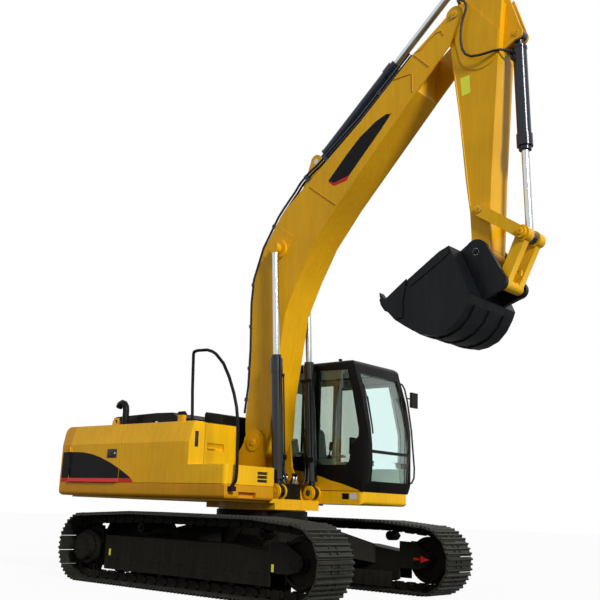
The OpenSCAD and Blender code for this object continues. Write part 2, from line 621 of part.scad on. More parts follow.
// Raised cover between the right box and the boom's foot
cover_x0 = hood_x1 + 150;
cover_x1 = -320;
cover_y1 = cab_y0 - 60;
module valve_cover() color("black") at_swing() side(box_y, cover_y1)
    polygon([[cover_x0, 1620], [cover_x1, 1620], [cover_x1, 2190], [cover_x1 - 25, 2205], [cover_x0 + 25, 2245], [cover_x0, 2220]]);

rail_r = 20;
rail = [[-85, -1275, body_z + 1], [-85, -1275, 2130], [-110, -1275, 2420], [-134, -1275, 2885], [-120, -1275, 2912], [-58, -1275, 2921], [119, -1275, 2913], [210, -1275, 2885], [279, -1275, 2848], [420, -1272, 2716],
    [523, -1265, 2544], [610, -1255, 2341], [661, -1250, 2178], [688, -1245, 2017], [705, -1245, 1813], [722, -1250, 1400], [722, -1262, 1300], [700, -1290, 1243], [690, -1300, 1215]];
module handrail() color("black") at_swing() {
    tube(rail, rail_r, 12);
    box(step_x, step_x + 70, -1330, -1255, 1180, 1236);
}

module exhaust() color("black") at_swing() {
    tube([[-1740, -1010, body_z], [-1740, -1010, body_z + 230], [-1752, -1010, body_z + 285], [-1785, -1010, body_z + 325], [-1832, -1010, body_z + 340],
        [-1880, -1010, body_z + 322], [-1905, -1010, body_z + 275]], 46, 16);
    translate([-1740, -1010, body_z]) cylinder(r = 70, h = 40);
}

module engine() color("gray") at_swing() {
    difference() {
        box(-2080, -1100, -650, 560, deck_top + 60, deck_top + 660);
        box(-2000, -1180, -570, 480, deck_top + 130, deck_top + 590);
    }
    box(-1900, -1300, -250, 250, deck_top, deck_top + 60);
}

// Cab: outline of its side in (x, z), then walls, windows and glass
cab_front = [[cab_x1 + 8, cab_z0], [cab_x1 + 78, 1385], [cab_x1 + 94, 1600], [cab_x1 + 84, 1850], [cab_x1 + 55, 2080], [cab_x1 - 30, 2480], [cab_x1 - 150, 2850]];
cab_side = concat([[cab_x0, cab_z0]], cab_front, arc([cab_x1 - 265, cab_z1 - 110], 110, 18, 90, 5), arc([cab_x0 + 120, cab_z1 - 120], 120, 90, 180, 5));
roof_r = 70;
module cab_solid(g) intersection() {
    side(cab_y0 + g, cab_y1 - g) polygon(inset(cab_side, g));
    translate([0, 0, cab_z0 - 10]) linear_extrude(cab_z1) {
        x1 = cab_x1 + 100 - g;
        y0 = cab_y0 + g;
        y1 = cab_y1 - g;
        r = cab_r;
        polygon([[cab_x0, y0], [x1 - r, y0], [x1 - r, y1], [cab_x0, y1]]);
        polygon([[x1 - r - 1, y0 + r], [x1, y0 + r], [x1, y1 - r], [x1 - r - 1, y1 - r]]);
        for (y = [y0 + r, y1 - r]) translate([x1 - r, y]) circle(r);
    }
    across(cab_x0 - 1, cab_x1 + 200) polygon(concat([[cab_y0 + g, cab_z0 - 20], [cab_y1 - g, cab_z0 - 20]],
        arc([cab_y1 - roof_r - g, cab_z1 - roof_r - g], roof_r, 0, 90, 5), arc([cab_y0 + roof_r + g, cab_z1 - roof_r - g], roof_r, 90, 180, 5)));
}
// The base: a tray beside the deck and over its rear part, rounded below
base_t = 45;
module cab_base() color("gold") at_swing() difference() {
    intersection() {
        side(cab_y0, cab_y1) polygon(concat([[cab_x0, deck_top], [box_x + door_gap, deck_top], [box_x + door_gap, skirt_z]],
            arc([cab_x1 + 8 - skirt_r, skirt_z + skirt_r], skirt_r, -90, 0, 6), [[cab_x1 + 8, cab_z0], [cab_x0, cab_z0]]));
        across(cab_x0 - 1, cab_x1 + 10) polygon(concat([[cab_y0, skirt_z]], arc([cab_y1 - 75, skirt_z + 75], 75, -90, 0, 6), [[cab_y1, cab_z0], [cab_y0, cab_z0]]));
        translate([0, 0, skirt_z - 1]) linear_extrude(cab_z0) polygon(concat([[cab_x0, cab_y0]], arc([cab_x1 + 8 - 60, cab_y0 + 60], 60, -90, 0, 6),
            arc([cab_x1 + 8 - 60, cab_y1 - 60], 60, 0, 90, 6), [[cab_x0, cab_y1]]));
    }
    box(cab_x0 + base_t, cab_x1 - base_t, cab_y0 + base_t, cab_y1 - base_t, deck_top + base_t, cab_z0 + 1);
    box(cab_x1 - 1, cab_x1 + 20, cab_y0 - 1, cab_y1 + 1, cab_z0 - groove / 2, cab_z0 + 1);
}
door_cut = [[120, cab_z0 + 20], [cab_x1 - 110, cab_z0 + 20], [cab_x1 - 85, 1400], [cab_x1 - 85, 2040], [cab_x1 - 265, 2780], [120, 2780]];
door_pane = [[120, 1530], [cab_x1 - 85, 1530], [cab_x1 - 85, 2040], [cab_x1 - 265, 2780], [120, 2780]];
// Panes, as outlines in (x, z): the front one on the right is cut by the dark panel at its lower front corner
pane_front = [[600, 1590], [1040, 1590], [1095, 1625], [1140, 1830], [cab_x1 - 75, 1960], [cab_x1 - 75, 2050], [cab_x1 - 195, 2580], [cab_x1 - 280, 2840], [560, 2850], [560, 1640]];
pane_rear = [[-400, 1700], [490, 1700], [490, 2840], [-400, 2840]];
pane_left = [[-400, 1700], [40, 1700], [40, 2810], [-400, 2810]];
shield_y = 88;
shield_z = [1385, 1745, 1783, 2790];
rear_z = [1500, 2700];
module cab_hinges() for (z = [cab_z0 + 160, 2560]) translate([124, cab_y1, z]) children();
module cab_shell() color("dimgray") at_swing() {
    cab_hinges() hinge_fixed();
    cab_walls();
    translate([700, 700, cab_z1 - 1]) cylinder(r = 16, h = 60);
    translate([700, 700, cab_z1 + 50]) cylinder(r = 26, h = 22);
}
module cab_walls() difference() {
    cab_solid(0);
    cab_solid(cab_wall);
    box(cab_x0 + cab_wall, cab_x1 - 37, cab_y0 + cab_wall, cab_y1 - cab_wall, cab_z0 - 20, cab_z0 + cab_wall + 1);
    side(cab_y1 - cab_wall - 60, cab_y1 + 10) polygon(door_cut);
    side(cab_y0 - 10, cab_y0 + cab_wall + 60) {
        polygon(pane_rear);
        polygon(pane_front);
    }
    side(cab_y1 - cab_wall - 60, cab_y1 + 10) polygon(pane_left);
    for (i = [0, 2]) box(cab_x1 - 300, cab_x1 + 200, cab_y0 + shield_y, cab_y1 - shield_y, shield_z[i], shield_z[i + 1]);
    box(cab_x0 - 10, cab_x0 + cab_wall + 10, cab_y0 + 110, cab_y1 - 110, rear_z[0], rear_z[1]);
}
module cab_door() color("dimgray") at_swing() {
    cab_hinges() hinge_moving();
    door_frame();
}
module door_frame() difference() {
    side(cab_y1 - cab_wall, cab_y1) polygon(inset(door_cut, door_gap));
    side(cab_y1 - cab_wall - 1, cab_y1 + 1) polygon(inset(door_pane, 50));
}
glass_in = 18;
module cab_glass() color("lightblue") at_swing() {
    intersection() {
        difference() { cab_solid(glass_in); cab_solid(glass_in + glass_t); }
        for (i = [0, 2]) box(cab_x1 - 300, cab_x1 + 200, cab_y0 + shield_y + 0.3, cab_y1 - shield_y - 0.3, shield_z[i] + 0.3, shield_z[i + 1] - 0.3);
    }
    side(cab_y0 + glass_in, cab_y0 + glass_in + glass_t) {
        polygon(pane_rear);
        polygon(pane_front);
    }
    side(cab_y1 - glass_in - glass_t, cab_y1 - glass_in) polygon(pane_left);
    box(cab_x0 + glass_in, cab_x0 + glass_in + glass_t, cab_y0 + 110, cab_y1 - 110, rear_z[0], rear_z[1]);
}
module door_glass() color("lightblue") at_swing()
    side(cab_y1 - glass_in - glass_t, cab_y1 - glass_in) polygon(inset(door_pane, 50));
cab_floor = deck_top + base_t;
module cab_seat() color("black") at_swing() {
    box(120, 620, 700, 1180, cab_floor + 300, cab_floor + 430);
    side(710, 1170) polygon([[90, cab_floor + 340], [210, cab_floor + 431], [70, 2300], [-50, 2300]]);
    box(200, 540, 780, 1100, cab_floor, cab_floor + 300);
}
// Grab rail of the cab's left front corner, with the mirror on an arm
mirror_y = cab_y1 + 20;
grab = [[cab_x1 - 228, cab_y1 + 0.3, 2775], [cab_x1 - 228, mirror_y, 2775], [cab_x1 - 170, mirror_y + 4, 2785], [cab_x1 - 110, mirror_y + 4, 2755], [cab_x1 - 72, mirror_y + 4, 2690],
    [cab_x1 - 25, mirror_y + 4, 2520], [cab_x1 + 45, mirror_y + 4, 2110], [cab_x1 + 96, mirror_y + 4, 1600], [cab_x1 + 92, mirror_y + 4, 1470], [cab_x1 + 55, mirror_y + 4, 1405],
    [cab_x1 - 10, mirror_y + 2, 1386], [cab_x1 - 60, mirror_y, 1385], [cab_x1 - 60, cab_y1 + 0.3, 1385]];
module side_mirror() color("black") at_swing() {
    tube(grab, 12, 8, [1, 1, 1]);
    tube([[cab_x1 - 36, mirror_y + 4, 2560], [cab_x1 + 5, mirror_y + 60, 2560], [cab_x1 + 30, mirror_y + 90, 2545]], 9, 8, [0, 0, 1]);
    box(cab_x1 + 24, cab_x1 + 54, mirror_y - 10, mirror_y + 150, 2430, 2640);
}

// Boom: a closed box with a forked nose
function between(a, b, k) = a + (b - a) * k;
boom_rear = [foot + [-200, 160], foot + [-208, 370], foot + [-165, 750], eye + [-446, -1340], eye + [-471, -690], eye + [-446, -360],
    eye + [-291, 65], eye + [-71, 395], crowd + [-370, -654], crowd + [-137, -470], nose + [-1407, -1031], nose + [-616, -348]];
boom_front = [eye + [1030, 501], eye + [628, 25], eye + [364, -430], eye + [149, -881], foot + [262, 607], foot + [241, 122]];
boom_foot = [foot + [150, -60], foot + [-60, -150], foot + [-155, -40]];
nose_top = nose + [30, 112];
nose_low = nose + [-497, -811];
boom_end = [between(nose + [-616, -348], nose_top, 0.2), between(nose_low, boom_front[0], 0.04)];
boom_hollow = concat([foot + [-195, 500]], [for (i = [2:11]) boom_rear[i]], boom_end, [for (i = [0:3]) boom_front[i]], [foot + [255, 500]]);
fork_t = 28;
boom_pipe_y = [-222, -165, 165, 222];
pipe_r = 16;
module boom() color("goldenrod") at_swing() {
    difference() {
        union() {
            difference() {
                side(-boom_w / 2 + fork_t - 1, boom_w / 2 - fork_t + 1) polygon(concat(boom_rear, boom_end, boom_front, boom_foot));
                side(-boom_w / 2 + fork_t - 2, boom_w / 2 - fork_t + 2) polygon(inset(boom_hollow, plate_t));
            }
            sides(boom_w / 2 - fork_t, boom_w / 2) difference() {
                union() {
                    polygon(concat(boom_rear, [nose_top, nose + [112, -30], nose + [-69, -382], nose_low], boom_front, boom_foot));
                    translate(nose) circle(118);
                }
            }
            bar_y(foot, 165, -boom_w / 2 - 5, boom_w / 2 + 5);
            sides(boom_w / 2 - 1, boom_w / 2 + eye_boss) translate(eye) circle(130);
            sides(boom_w / 2 - 1, boom_w / 2 + 8) polygon([eye + [-295, -40], eye + [-40, -300], eye + [240, 160], eye + [20, 300]]);
            for (y = [-86, 56]) side(y, y + 30) {
                translate(crowd) circle(95);
                polygon([crowd + [-95, 0], crowd + [-322, -640], crowd + [330, -270], crowd + [60, 75]]);
            }
        }
        bar_y(foot, pin_r + 10 + fit, -300, 300);
        bar_y(nose, pin_r + 10 + fit, -300, 300);
        bar_y(crowd, pin_r + fit, -100, 100);
    }
}
// Pipes in clamps: up the boom's rear from its foot, and along its top beside the arm cylinder
pipe_low = [foot + [-250, 400], foot + [-205, 760], eye + [-483, -1340], eye + [-508, -690], eye + [-483, -350], eye + [-326, 85], eye + [-114, 418]];
pipe_high = [[700, 5400], [775, 5460], [850, 5510], [930, 5548], [1640, 6062], [2420, 6735]];
function over(p, y) = [for (q = p) [q[0], y, q[1]]];
// A clamp on the boom's edge, a share k of the way from corner i to the next, reaching h off the plate
module pipe_clamp(i, k, h) {
    d = unit(boom_rear[i + 1] - boom_rear[i]);
    c = between(boom_rear[i], boom_rear[i + 1], k);
    n = [-d[1], d[0]];
    sides(140, 240) polygon([c - 24 * d, c + 24 * d, c + 24 * d + h * n, c - 24 * d + h * n]);
}
module boom_pipes() color("black") at_swing() {
    for (y = boom_pipe_y) {
        tube(over(pipe_low, y), pipe_r, 8, [0, 1, 0]);
        tube(over(pipe_high, y), pipe_r, 8, [0, 1, 0]);
    }
    for (c = [[1, 0.55, 64], [2, 0.5, 58], [3, 0.5, 57], [4, 0.8, 58], [6, 0.85, 68], [9, 0.15, 134], [9, 0.45, 104], [10, 0.4, 98]]) pipe_clamp(c[0], c[1], c[2]);
}
module boom_pins() color("silver") at_swing() {
    bar_y(nose, pin_r + 10, -boom_w / 2 - boss_t, boom_w / 2 + boss_t);
    bar_y(crowd, pin_r, -86, 86);
}

// Hoses, as points from the swing axis: in (x, z) over the boom's bend, in (x, y, z) from the boom's nose to the bucket cylinder
bend_hose = [[222.2, 4868.3], [258, 4924], [300, 4978], [345, 5029], [392, 5078], [440, 5128], [490, 5179], [541, 5231], [585, 5281], [622, 5328], [661, 5368.8], [699.8, 5399.8]];
arm_hose_path = [[3100, -120.3, 7245], [3100, -134, 7245], [3108, -183, 7240], [3132, -224, 7225], [3167, -252, 7203], [3209, -262, 7177], [3242, -262, 7147], [3264, -262, 7107],
    [3270, -262, 7062], [3264, -262, 7030], [3249, -262, 6985], [3226, -262, 6925], [3206, -262, 6855], [3194, -262, 6760], [3191, -262, 6640],
    [3208, -262, 6520], [3252, -262, 6430], [3330, -262, 6375], [3430, -262, 6355], [3530, -258, 6352], [3620, -238, 6364], [3688, -195, 6375], [3731, -140, 6378], [3746, -90, 6378], [3746, -48.5, 6378]];
module boom_hoses() color("black") at_swing() for (y = boom_pipe_y) tube(over(bend_hose, y), hose_r, 10, [0, 1, 0]);
module arm_hose() color("black") at_swing() tube(arm_hose_path, hose_r, 10, [-1, 1, 0]);

// A cylinder's barrel with its foot eye, and its rod with its own eye
module barrel(p, q, y, r, len, half) {
    d = unit(q - p);
    difference() {
        union() {
            bar_y(p, pin_r + 42, y - half, y + half);
            rod([p[0], y, p[1]] + 60 * [d[0], 0, d[1]], [p[0], y, p[1]] + 150 * [d[0], 0, d[1]], half - 1);
            rod([p[0], y, p[1]] + 148 * [d[0], 0, d[1]], [p[0], y, p[1]] + len * [d[0], 0, d[1]], r);
        }
        bar_y(p, pin_r + fit, y - half - 1, y + half + 1);
    }
}
module bored(p, q, y, len, r) {
    d = unit(q - p);
    difference() {
        children();
        rod([p[0], y, p[1]] + 170 * [d[0], 0, d[1]], [p[0], y, p[1]] + (len + 1) * [d[0], 0, d[1]], r + 1);
    }
}
module piston_rod(p, q, y, r, half, start) {
    d = unit(q - p);
    difference() {
        union() {
            rod([p[0], y, p[1]] + start * [d[0], 0, d[1]], [q[0], y, q[1]] - 70 * [d[0], 0, d[1]], r);
            bar_y(q, pin_r + 38, y - half, y + half);
        }
        bar_y(q, pin_r + fit, y - half - 1, y + half + 1);
    }
    bar_y(q, pin_r, y - half, y + half);
}
// Places along a cylinder: k mm from p towards q, h mm to its front, at y
function along(p, q, k, h, y) = let(d = unit(q - p), v = p + k * d + h * [d[1], -d[0]]) [v[0], y, v[1]];
module boom_barrels() color("dimgray") at_swing() for (s = [-1, 1])
    bored(lift, eye, s * lift_y, lift_len + 45, lift_rod_r) {
        barrel(lift, eye, s * lift_y, lift_r, lift_len, lug_half);
        rod(along(lift, eye, lift_len - 190, 0, s * lift_y), along(lift, eye, lift_len, 0, s * lift_y), lift_r + 6);
        rod(along(lift, eye, lift_len - 1, 0, s * lift_y), along(lift, eye, lift_len + 45, 0, s * lift_y), lift_r - 9);
        rod(along(lift, eye, 148, 0, s * lift_y), along(lift, eye, 180, 0, s * lift_y), lift_r + 6);
    }
// Oil pipes of the boom cylinders, with a port block, two hose ends and their hoses on the inner side
line_h = 64;
module cylinder_pipes() color("silver") at_swing() for (s = [-1, 1]) {
    difference() {
        union() {
            for (h = [-line_h, line_h]) rod(along(lift, eye, 454, h, s * (lift_y - line_h)), along(lift, eye, lift_len - 240, h, s * (lift_y - line_h)), 10);
            block(lift, eye, 395, 455, s, 70, lift_y - 100, lift_y - 40);
            block(lift, eye, lift_len - 241, lift_len - 200, s, 70, lift_y - 82, lift_y - 40);
            for (h = [-28, 28]) rod(along(lift, eye, 315, h, s * (lift_y - 90)), along(lift, eye, 396, h, s * (lift_y - 90)), 15);
        }
        rod(along(lift, eye, 200, 0, s * lift_y), along(lift, eye, lift_len, 0, s * lift_y), lift_r + 0.3);
    }
}
hose_r = 16;
module cylinder_hoses() color("black") at_swing() for (s = [-1, 1], h = [-28, 28])
    tube([along(lift, eye, 314.7, h, s * (lift_y - 90)), along(lift, eye, 270, h, s * (lift_y - 90)), along(lift, eye, 220, h * 1.1, s * (lift_y - 96)),
        along(lift, eye, 165, h * 1.3, s * (lift_y - 112)), along(lift, eye, 110, h * 1.5, s * (lift_y - 130))], hose_r, 10, [0, 1, 0.2]);
// A block on a cylinder's inner side from k0 to k1 along it, w to each side of its axis
module block(p, q, k0, k1, s, w, y0, y1) side(s > 0 ? y0 : -y1, s > 0 ? y1 : -y0)
    polygon([for (k = [[k0, -w], [k1, -w], [k1, w], [k0, w]]) let(v = along(p, q, k[0], k[1], 0)) [v[0], v[2]]]);
module boom_rods() color("silver") at_swing() for (s = [-1, 1])
    piston_rod(lift, eye, s * lift_y, lift_rod_r, 40, 1500);
// The gland's collar and nose at a barrel's end
module collar(p, q, r, len) {
    rod(along(p, q, len - 150, 0, 0), along(p, q, len, 0, 0), r + 12);
    rod(along(p, q, len - 1, 0, 0), along(p, q, len + 45, 0, 0), r - 9);
    rod(along(p, q, 148, 0, 0), along(p, q, 180, 0, 0), r + 6);
}
module arm_barrel() color("dimgray") at_swing()
    bored(crowd, heel, 0, crowd_len + 45, crowd_rod_r) {
        barrel(crowd, heel, 0, crowd_r, crowd_len, 50);
        collar(crowd, heel, crowd_r, crowd_len);
    }
module arm_rod() color("silver") at_swing() piston_rod(crowd, heel, 0, crowd_rod_r, 50, 1480);
module bucket_barrel() color("midnightblue") at_swing()
    bored(curl, knee, 0, curl_len + 45, curl_rod_r) {
        barrel(curl, knee, 0, curl_r, curl_len, 50);
        collar(curl, knee, curl_r, curl_len);
        side(-48, 48) polygon([for (k = [[135, 20], [290, 20], [290, 105], [160, 105]]) let(v = along(curl, knee, k[0], k[1], 0)) [v[0], v[2]]]);
    }
module bucket_rod() color("silver") at_swing() piston_rod(curl, knee, 0, curl_rod_r, 50, 1000);

// Arm: heel plates with a gap for the rod's eye, a closed box below, brackets for the bucket cylinder
arm_outline = [nose + [-93, -355], tip + [-240, 1708], tip + [-164, 923], tip + [-109, 484], tip + [-94, 196], tip + [-120, 30],
    tip + [60, -110], tip + [125, 40], tip + [133, 156], tip + [167, 849], tip + [222, 1581], nose + [576, -524],
    nose + [625, -13], nose + [560, 150], nose + [-20, 135], nose + [-140, -60]];
doubler_t = 9;
module arm() color("goldenrod") at_swing() difference() {
    union() {
        difference() {
            side(-arm_w / 2, arm_w / 2) {
                polygon(arm_outline);
                translate(tip) circle(125);
                translate(nose) circle(140);
            }
            side(-arm_w / 2 + plate_t, arm_w / 2 - plate_t) polygon(inset([nose + [-55, -500], tip + [-240, 1708], tip + [-164, 923],
                tip + [-120, 600], tip + [155, 600], tip + [167, 849], tip + [222, 1581], nose + [576, -524], nose + [600, -250], nose + [300, -180]], plate_t));
            side(-arm_w / 2 + plate_t, arm_w / 2 - plate_t) polygon([nose + [170, -100], nose + [560, -200], nose + [600, -30], nose + [540, 110], nose + [170, 95]]);
        }
        for (s = [-1, 1]) side(s > 0 ? 60 : -92, s > 0 ? 92 : -60) {
            polygon([nose + [-60, 100], heel + [-112, 0], heel + [60, 95], nose + [570, 120]]);
            translate(heel) circle(112);
            polygon([nose + [600, 60], nose + [655, 100], curl + [85, 0], curl + [-10, -85], nose + [560, -620]]);
            translate(curl) circle(85);
        }
        bar_y(guide, 75, -arm_w / 2 - 10, arm_w / 2 + 10);
        box(3070, 3130, -120, -91, 7205, 7285);
        sides(arm_w / 2 - 1, arm_w / 2 + doubler_t) intersection() {
            strap(nose + [60, 20], 150, nose + [327, -530], 290);
            polygon(inset(arm_outline, 14));
        }
    }
    bar_y(nose, pin_r + 10 + fit, -300, 300);
    bar_y(curl, pin_r + fit, -100, 100);
    bar_y(guide, pin_r + fit, -300, 300);
    bar_y(tip, pin_r + fit, -300, 300);
}
module arm_pins() color("silver") at_swing() {
    bar_y(curl, pin_r, -92, 92);
    bar_y(guide, pin_r, -link_y - 42 - boss_t, link_y + 42 + boss_t);
}

link_y = arm_w / 2 + 18;
module guide_links() color("dimgray") at_swing() {
    difference() {
        sides(link_y, link_y + 42) strap(guide, 70, knee, 68);
        sides(link_y + 41, link_y + 42 + boss_t) {
            translate(guide) circle(62);
            translate(knee) circle(60);
        }
        bar_y(guide, pin_r + fit, -300, 300);
        bar_y(knee, pin_r + fit, -300, 300);
    }
    for (s = [-1, 1]) bar_y(knee, pin_r, s > 0 ? 70 : -link_y - 42 - boss_t, s > 0 ? link_y + 42 + boss_t : -70);
}
// A lifting eye stands on the bucket link's lower tube
lift_eye_r = 25;
module bucket_link() color("dimgray") at_swing() difference() {
    union() {
        sides(75, link_y - side_gap) translate(knee) circle(92);
        sides(88, link_y - side_gap - 12) strap(knee, 66, link, 62);
        bar_y(link, 70, -link_y + side_gap, link_y - side_gap);
        side(-14, 14) polygon([link + [-10, -10], link + [60, 30], link + [150, 95], link + [155, 165], link + [95, 180], link + [10, 60]]);
    }
    bar_y(link + [118, 135], lift_eye_r, -20, 20);
    bar_y(knee, pin_r + fit, -300, 300);
}

// Bucket: outline in its own frame, x from the pin towards the teeth
mouth = 206;
function at_bucket(p) = tip + [p[0] * cos(mouth) - p[1] * sin(mouth), p[0] * sin(mouth) + p[1] * cos(mouth)];
shell = [[160, -122], [299, -134], [1190, -30], [1214, 40], [1194, 128], [1150, 262], [1067, 398], [990, 515], [904, 612],
    [805, 690], [682, 730], [529, 737], [382, 686], [252, 599], [183, 534]];
function shell_in(t) = [[160 + t, -122 - 60], [1260, -60], [1214 - t * 0.2, 40], [1194 - t, 128], [1150 - t, 262 - t * 0.4], [1067 - t * 0.8, 398 - t * 0.6],
    [990 - t * 0.75, 515 - t * 0.7], [904 - t * 0.7, 612 - t * 0.75], [805 - t * 0.5, 690 - t * 0.9], [682 - t * 0.1, 730 - t],
    [529 + t * 0.1, 737 - t], [382 + t * 0.5, 686 - t * 0.8], [252 + t * 0.6, 599 - t * 0.8], [183 + t, 534 - t * 0.5]];
ear_y = link_y - 3;
wear = inset(shell, -16);
wear_in = inset(shell, 8);
module bucket() color("black") at_swing() difference() {
    union() {
        difference() {
            side(-bucket_w / 2, bucket_w / 2) polygon([for (p = shell) at_bucket(p)]);
            side(-bucket_w / 2 + bucket_t, bucket_w / 2 - bucket_t) polygon([for (p = shell_in(bucket_t)) at_bucket(p)]);
        }
        for (y = [-330, 0, 330]) side(y - 45, y + 45) polygon([for (p = concat([for (i = [5:13]) wear[i]], [for (i = [13:-1:5]) wear_in[i]])) at_bucket(p)]);
        sides(bucket_w / 2 - 1, bucket_w / 2 + 18) polygon([for (p = [[800, -86], [1185, -26], [1208, 40], [1188, 128], [1146, 258], [1040, 300], [960, 120]]) at_bucket(p)]);
        sides(bucket_w / 2 - 1, bucket_w / 2 + 12) polygon([for (p = [[185, -118], [800, -60], [790, 20], [300, -20], [190, -40]]) at_bucket(p)]);
        sides(ear_y, ear_y + 60) {
            translate(tip) circle(145);
            translate(link) circle(98);
            polygon([at_bucket([-20, -143]), at_bucket([165, -122]), at_bucket([185, 534]), at_bucket([-60, 560]), at_bucket([-172, 460]), at_bucket([-140, 0])]);
        }
    }
    bar_y(tip, pin_r + fit, -600, 600);
}
module bucket_teeth() color("dimgray") at_swing() for (i = [0:teeth - 1]) {
    y = -bucket_w / 2 + 70 + i * (bucket_w - 140) / (teeth - 1);
    side(y - 52, y + 52) polygon([for (p = [shell[2], [1186, -95], [1244, -95], [1256, -20], [1240, 70], shell[4], shell[3]]) at_bucket(p)]);
    side(y - 42, y + 42) polygon([for (p = [[1192, -94], [1238, -94], [1228, -tooth_len + 60], [1216, -tooth_len + 20], [1206, -tooth_len + 20], [1196, -tooth_len + 70]]) at_bucket(p)]);
}
module bucket_pin() color("silver") at_swing() bar_y(tip, pin_r, -ear_y - 60, ear_y + 60);

track_left();
track_right();
idlers();
sprockets();
rollers();
side_frames();
car_body();
slew_ring();
upper_frame();
foot_pins();
counterweight();
skirts();
body_panels();
engine_hood();
door_right();
door_left();
fuel_tank();
filler_cap();
step_box();
box_door();
box_frame();
tread_strips();
valve_cover();
handrail();
exhaust();
engine();
cab_base();
cab_shell();
cab_door();
cab_glass();
door_glass();
cab_seat();
side_mirror();
boom();
boom_pins();
boom_pipes();
boom_hoses();
boom_barrels();
cylinder_pipes();
cylinder_hoses();
boom_rods();
arm_barrel();
arm_rod();
arm();
arm_pins();
arm_hose();
bucket_barrel();
bucket_rod();
guide_links();
bucket_link();
bucket();
bucket_teeth();
bucket_pin();
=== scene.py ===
"""Dresses the crawler excavator's frame with finishes, hoses, tracks and small parts in a studio."""

import json
import logging
import math
from collections.abc import Callable, Iterable, Sequence
from dataclasses import dataclass, field
from enum import Enum

import bmesh
import bpy
from mathutils import Matrix, Vector
from mathutils.bvhtree import BVHTree

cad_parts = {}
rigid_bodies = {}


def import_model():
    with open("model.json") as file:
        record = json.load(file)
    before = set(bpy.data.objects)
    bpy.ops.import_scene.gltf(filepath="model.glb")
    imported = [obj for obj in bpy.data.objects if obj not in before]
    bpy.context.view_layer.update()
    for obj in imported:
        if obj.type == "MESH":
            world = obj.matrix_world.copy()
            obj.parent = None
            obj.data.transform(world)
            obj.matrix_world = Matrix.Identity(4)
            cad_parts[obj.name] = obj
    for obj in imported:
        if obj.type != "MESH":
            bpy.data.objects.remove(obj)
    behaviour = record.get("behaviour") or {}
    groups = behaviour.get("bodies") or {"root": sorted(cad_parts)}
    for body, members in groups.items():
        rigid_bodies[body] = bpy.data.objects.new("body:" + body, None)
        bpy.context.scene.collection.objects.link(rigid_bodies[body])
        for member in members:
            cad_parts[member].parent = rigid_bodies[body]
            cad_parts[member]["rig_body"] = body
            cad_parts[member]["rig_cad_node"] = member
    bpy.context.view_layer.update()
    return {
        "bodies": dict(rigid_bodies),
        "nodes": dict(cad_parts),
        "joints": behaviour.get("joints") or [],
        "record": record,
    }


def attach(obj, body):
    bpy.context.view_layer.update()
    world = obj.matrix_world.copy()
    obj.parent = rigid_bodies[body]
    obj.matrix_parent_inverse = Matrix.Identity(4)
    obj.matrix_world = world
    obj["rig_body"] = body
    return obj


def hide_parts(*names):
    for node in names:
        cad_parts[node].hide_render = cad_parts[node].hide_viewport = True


log = logging.getLogger("excavator")
Point = Sequence[float]
Outline = Sequence[tuple[float, float]]
Test = Callable[[bpy.types.MeshPolygon], bool]
Colour = tuple[float, float, float]
SWING_X = -0.510
SIDES = ((-1, "right"), (1, "left"))
SIDE_Y = 1.377
DUST: Colour = (0.30, 0.25, 0.17)
BLOOM: Colour = (0.20, 0.19, 0.17)
WHITE: Colour = (1.0, 1.0, 1.0)
WELD = 0.00002


def at(x: float, y: float, z: float) -> Vector:
    """Returns a point given from the swing axis, in the frame that the model stands in."""
    return Vector((x + SWING_X, y, z))


def drawn(outline: Outline, y: float) -> list[Vector]:
    """Returns the points of a side view's outline, at a distance to the left."""
    return [at(x, y, z) for x, z in outline]


def boxed(left: float, low: float, right: float, high: float) -> Outline:
    """Returns the corners of an upright rectangle in a side view."""
    return (left, low), (right, low), (right, high), (left, high)


def rgba(colour: Colour) -> tuple[float, float, float, float]:
    """Returns the colour with full opacity."""
    return (*colour, 1.0)


class Socket:
    """One value of a node tree, which adds a Math node for each operator used on it."""

    def __init__(self, graph: "Graph", link: bpy.types.NodeSocket) -> None:
        """Keeps the graph and the node's output."""
        self.graph, self.link = graph, link

    def _maths(self, operation: str, *values: object) -> "Socket":
        """Returns the result of a Math node on the values."""
        return self.graph.add("ShaderNodeMath", {"operation": operation}, *values)

    def __add__(self, other: object) -> "Socket":
        """Returns the sum."""
        return self._maths("ADD", self, other)

    def __sub__(self, other: object) -> "Socket":
        """Returns the difference."""
        return self._maths("SUBTRACT", self, other)

    def __rsub__(self, other: object) -> "Socket":
        """Returns the difference the other way round."""
        return self._maths("SUBTRACT", other, self)

    def __mul__(self, other: object) -> "Socket":
        """Returns the product."""
        return self._maths("MULTIPLY", self, other)

    __radd__, __rmul__ = __add__, __mul__

    def most(self, other: "Socket") -> "Socket":
        """Returns the greater of two values."""
        return self._maths("MAXIMUM", self, other)

    def over(self, low: float, high: float) -> "Socket":
        """Returns 0 below low and 1 above high, and a smooth rise between them."""
        settings = {"interpolation_type": "SMOOTHSTEP", "clamp": True}
        return self.graph.add("ShaderNodeMapRange", settings, self, low, high, 0.0, 1.0)

    def clamped(self) -> "Socket":
        """Returns the value held between 0 and 1."""
        return self.graph.add("ShaderNodeClamp", {}, self, 0.0, 1.0)


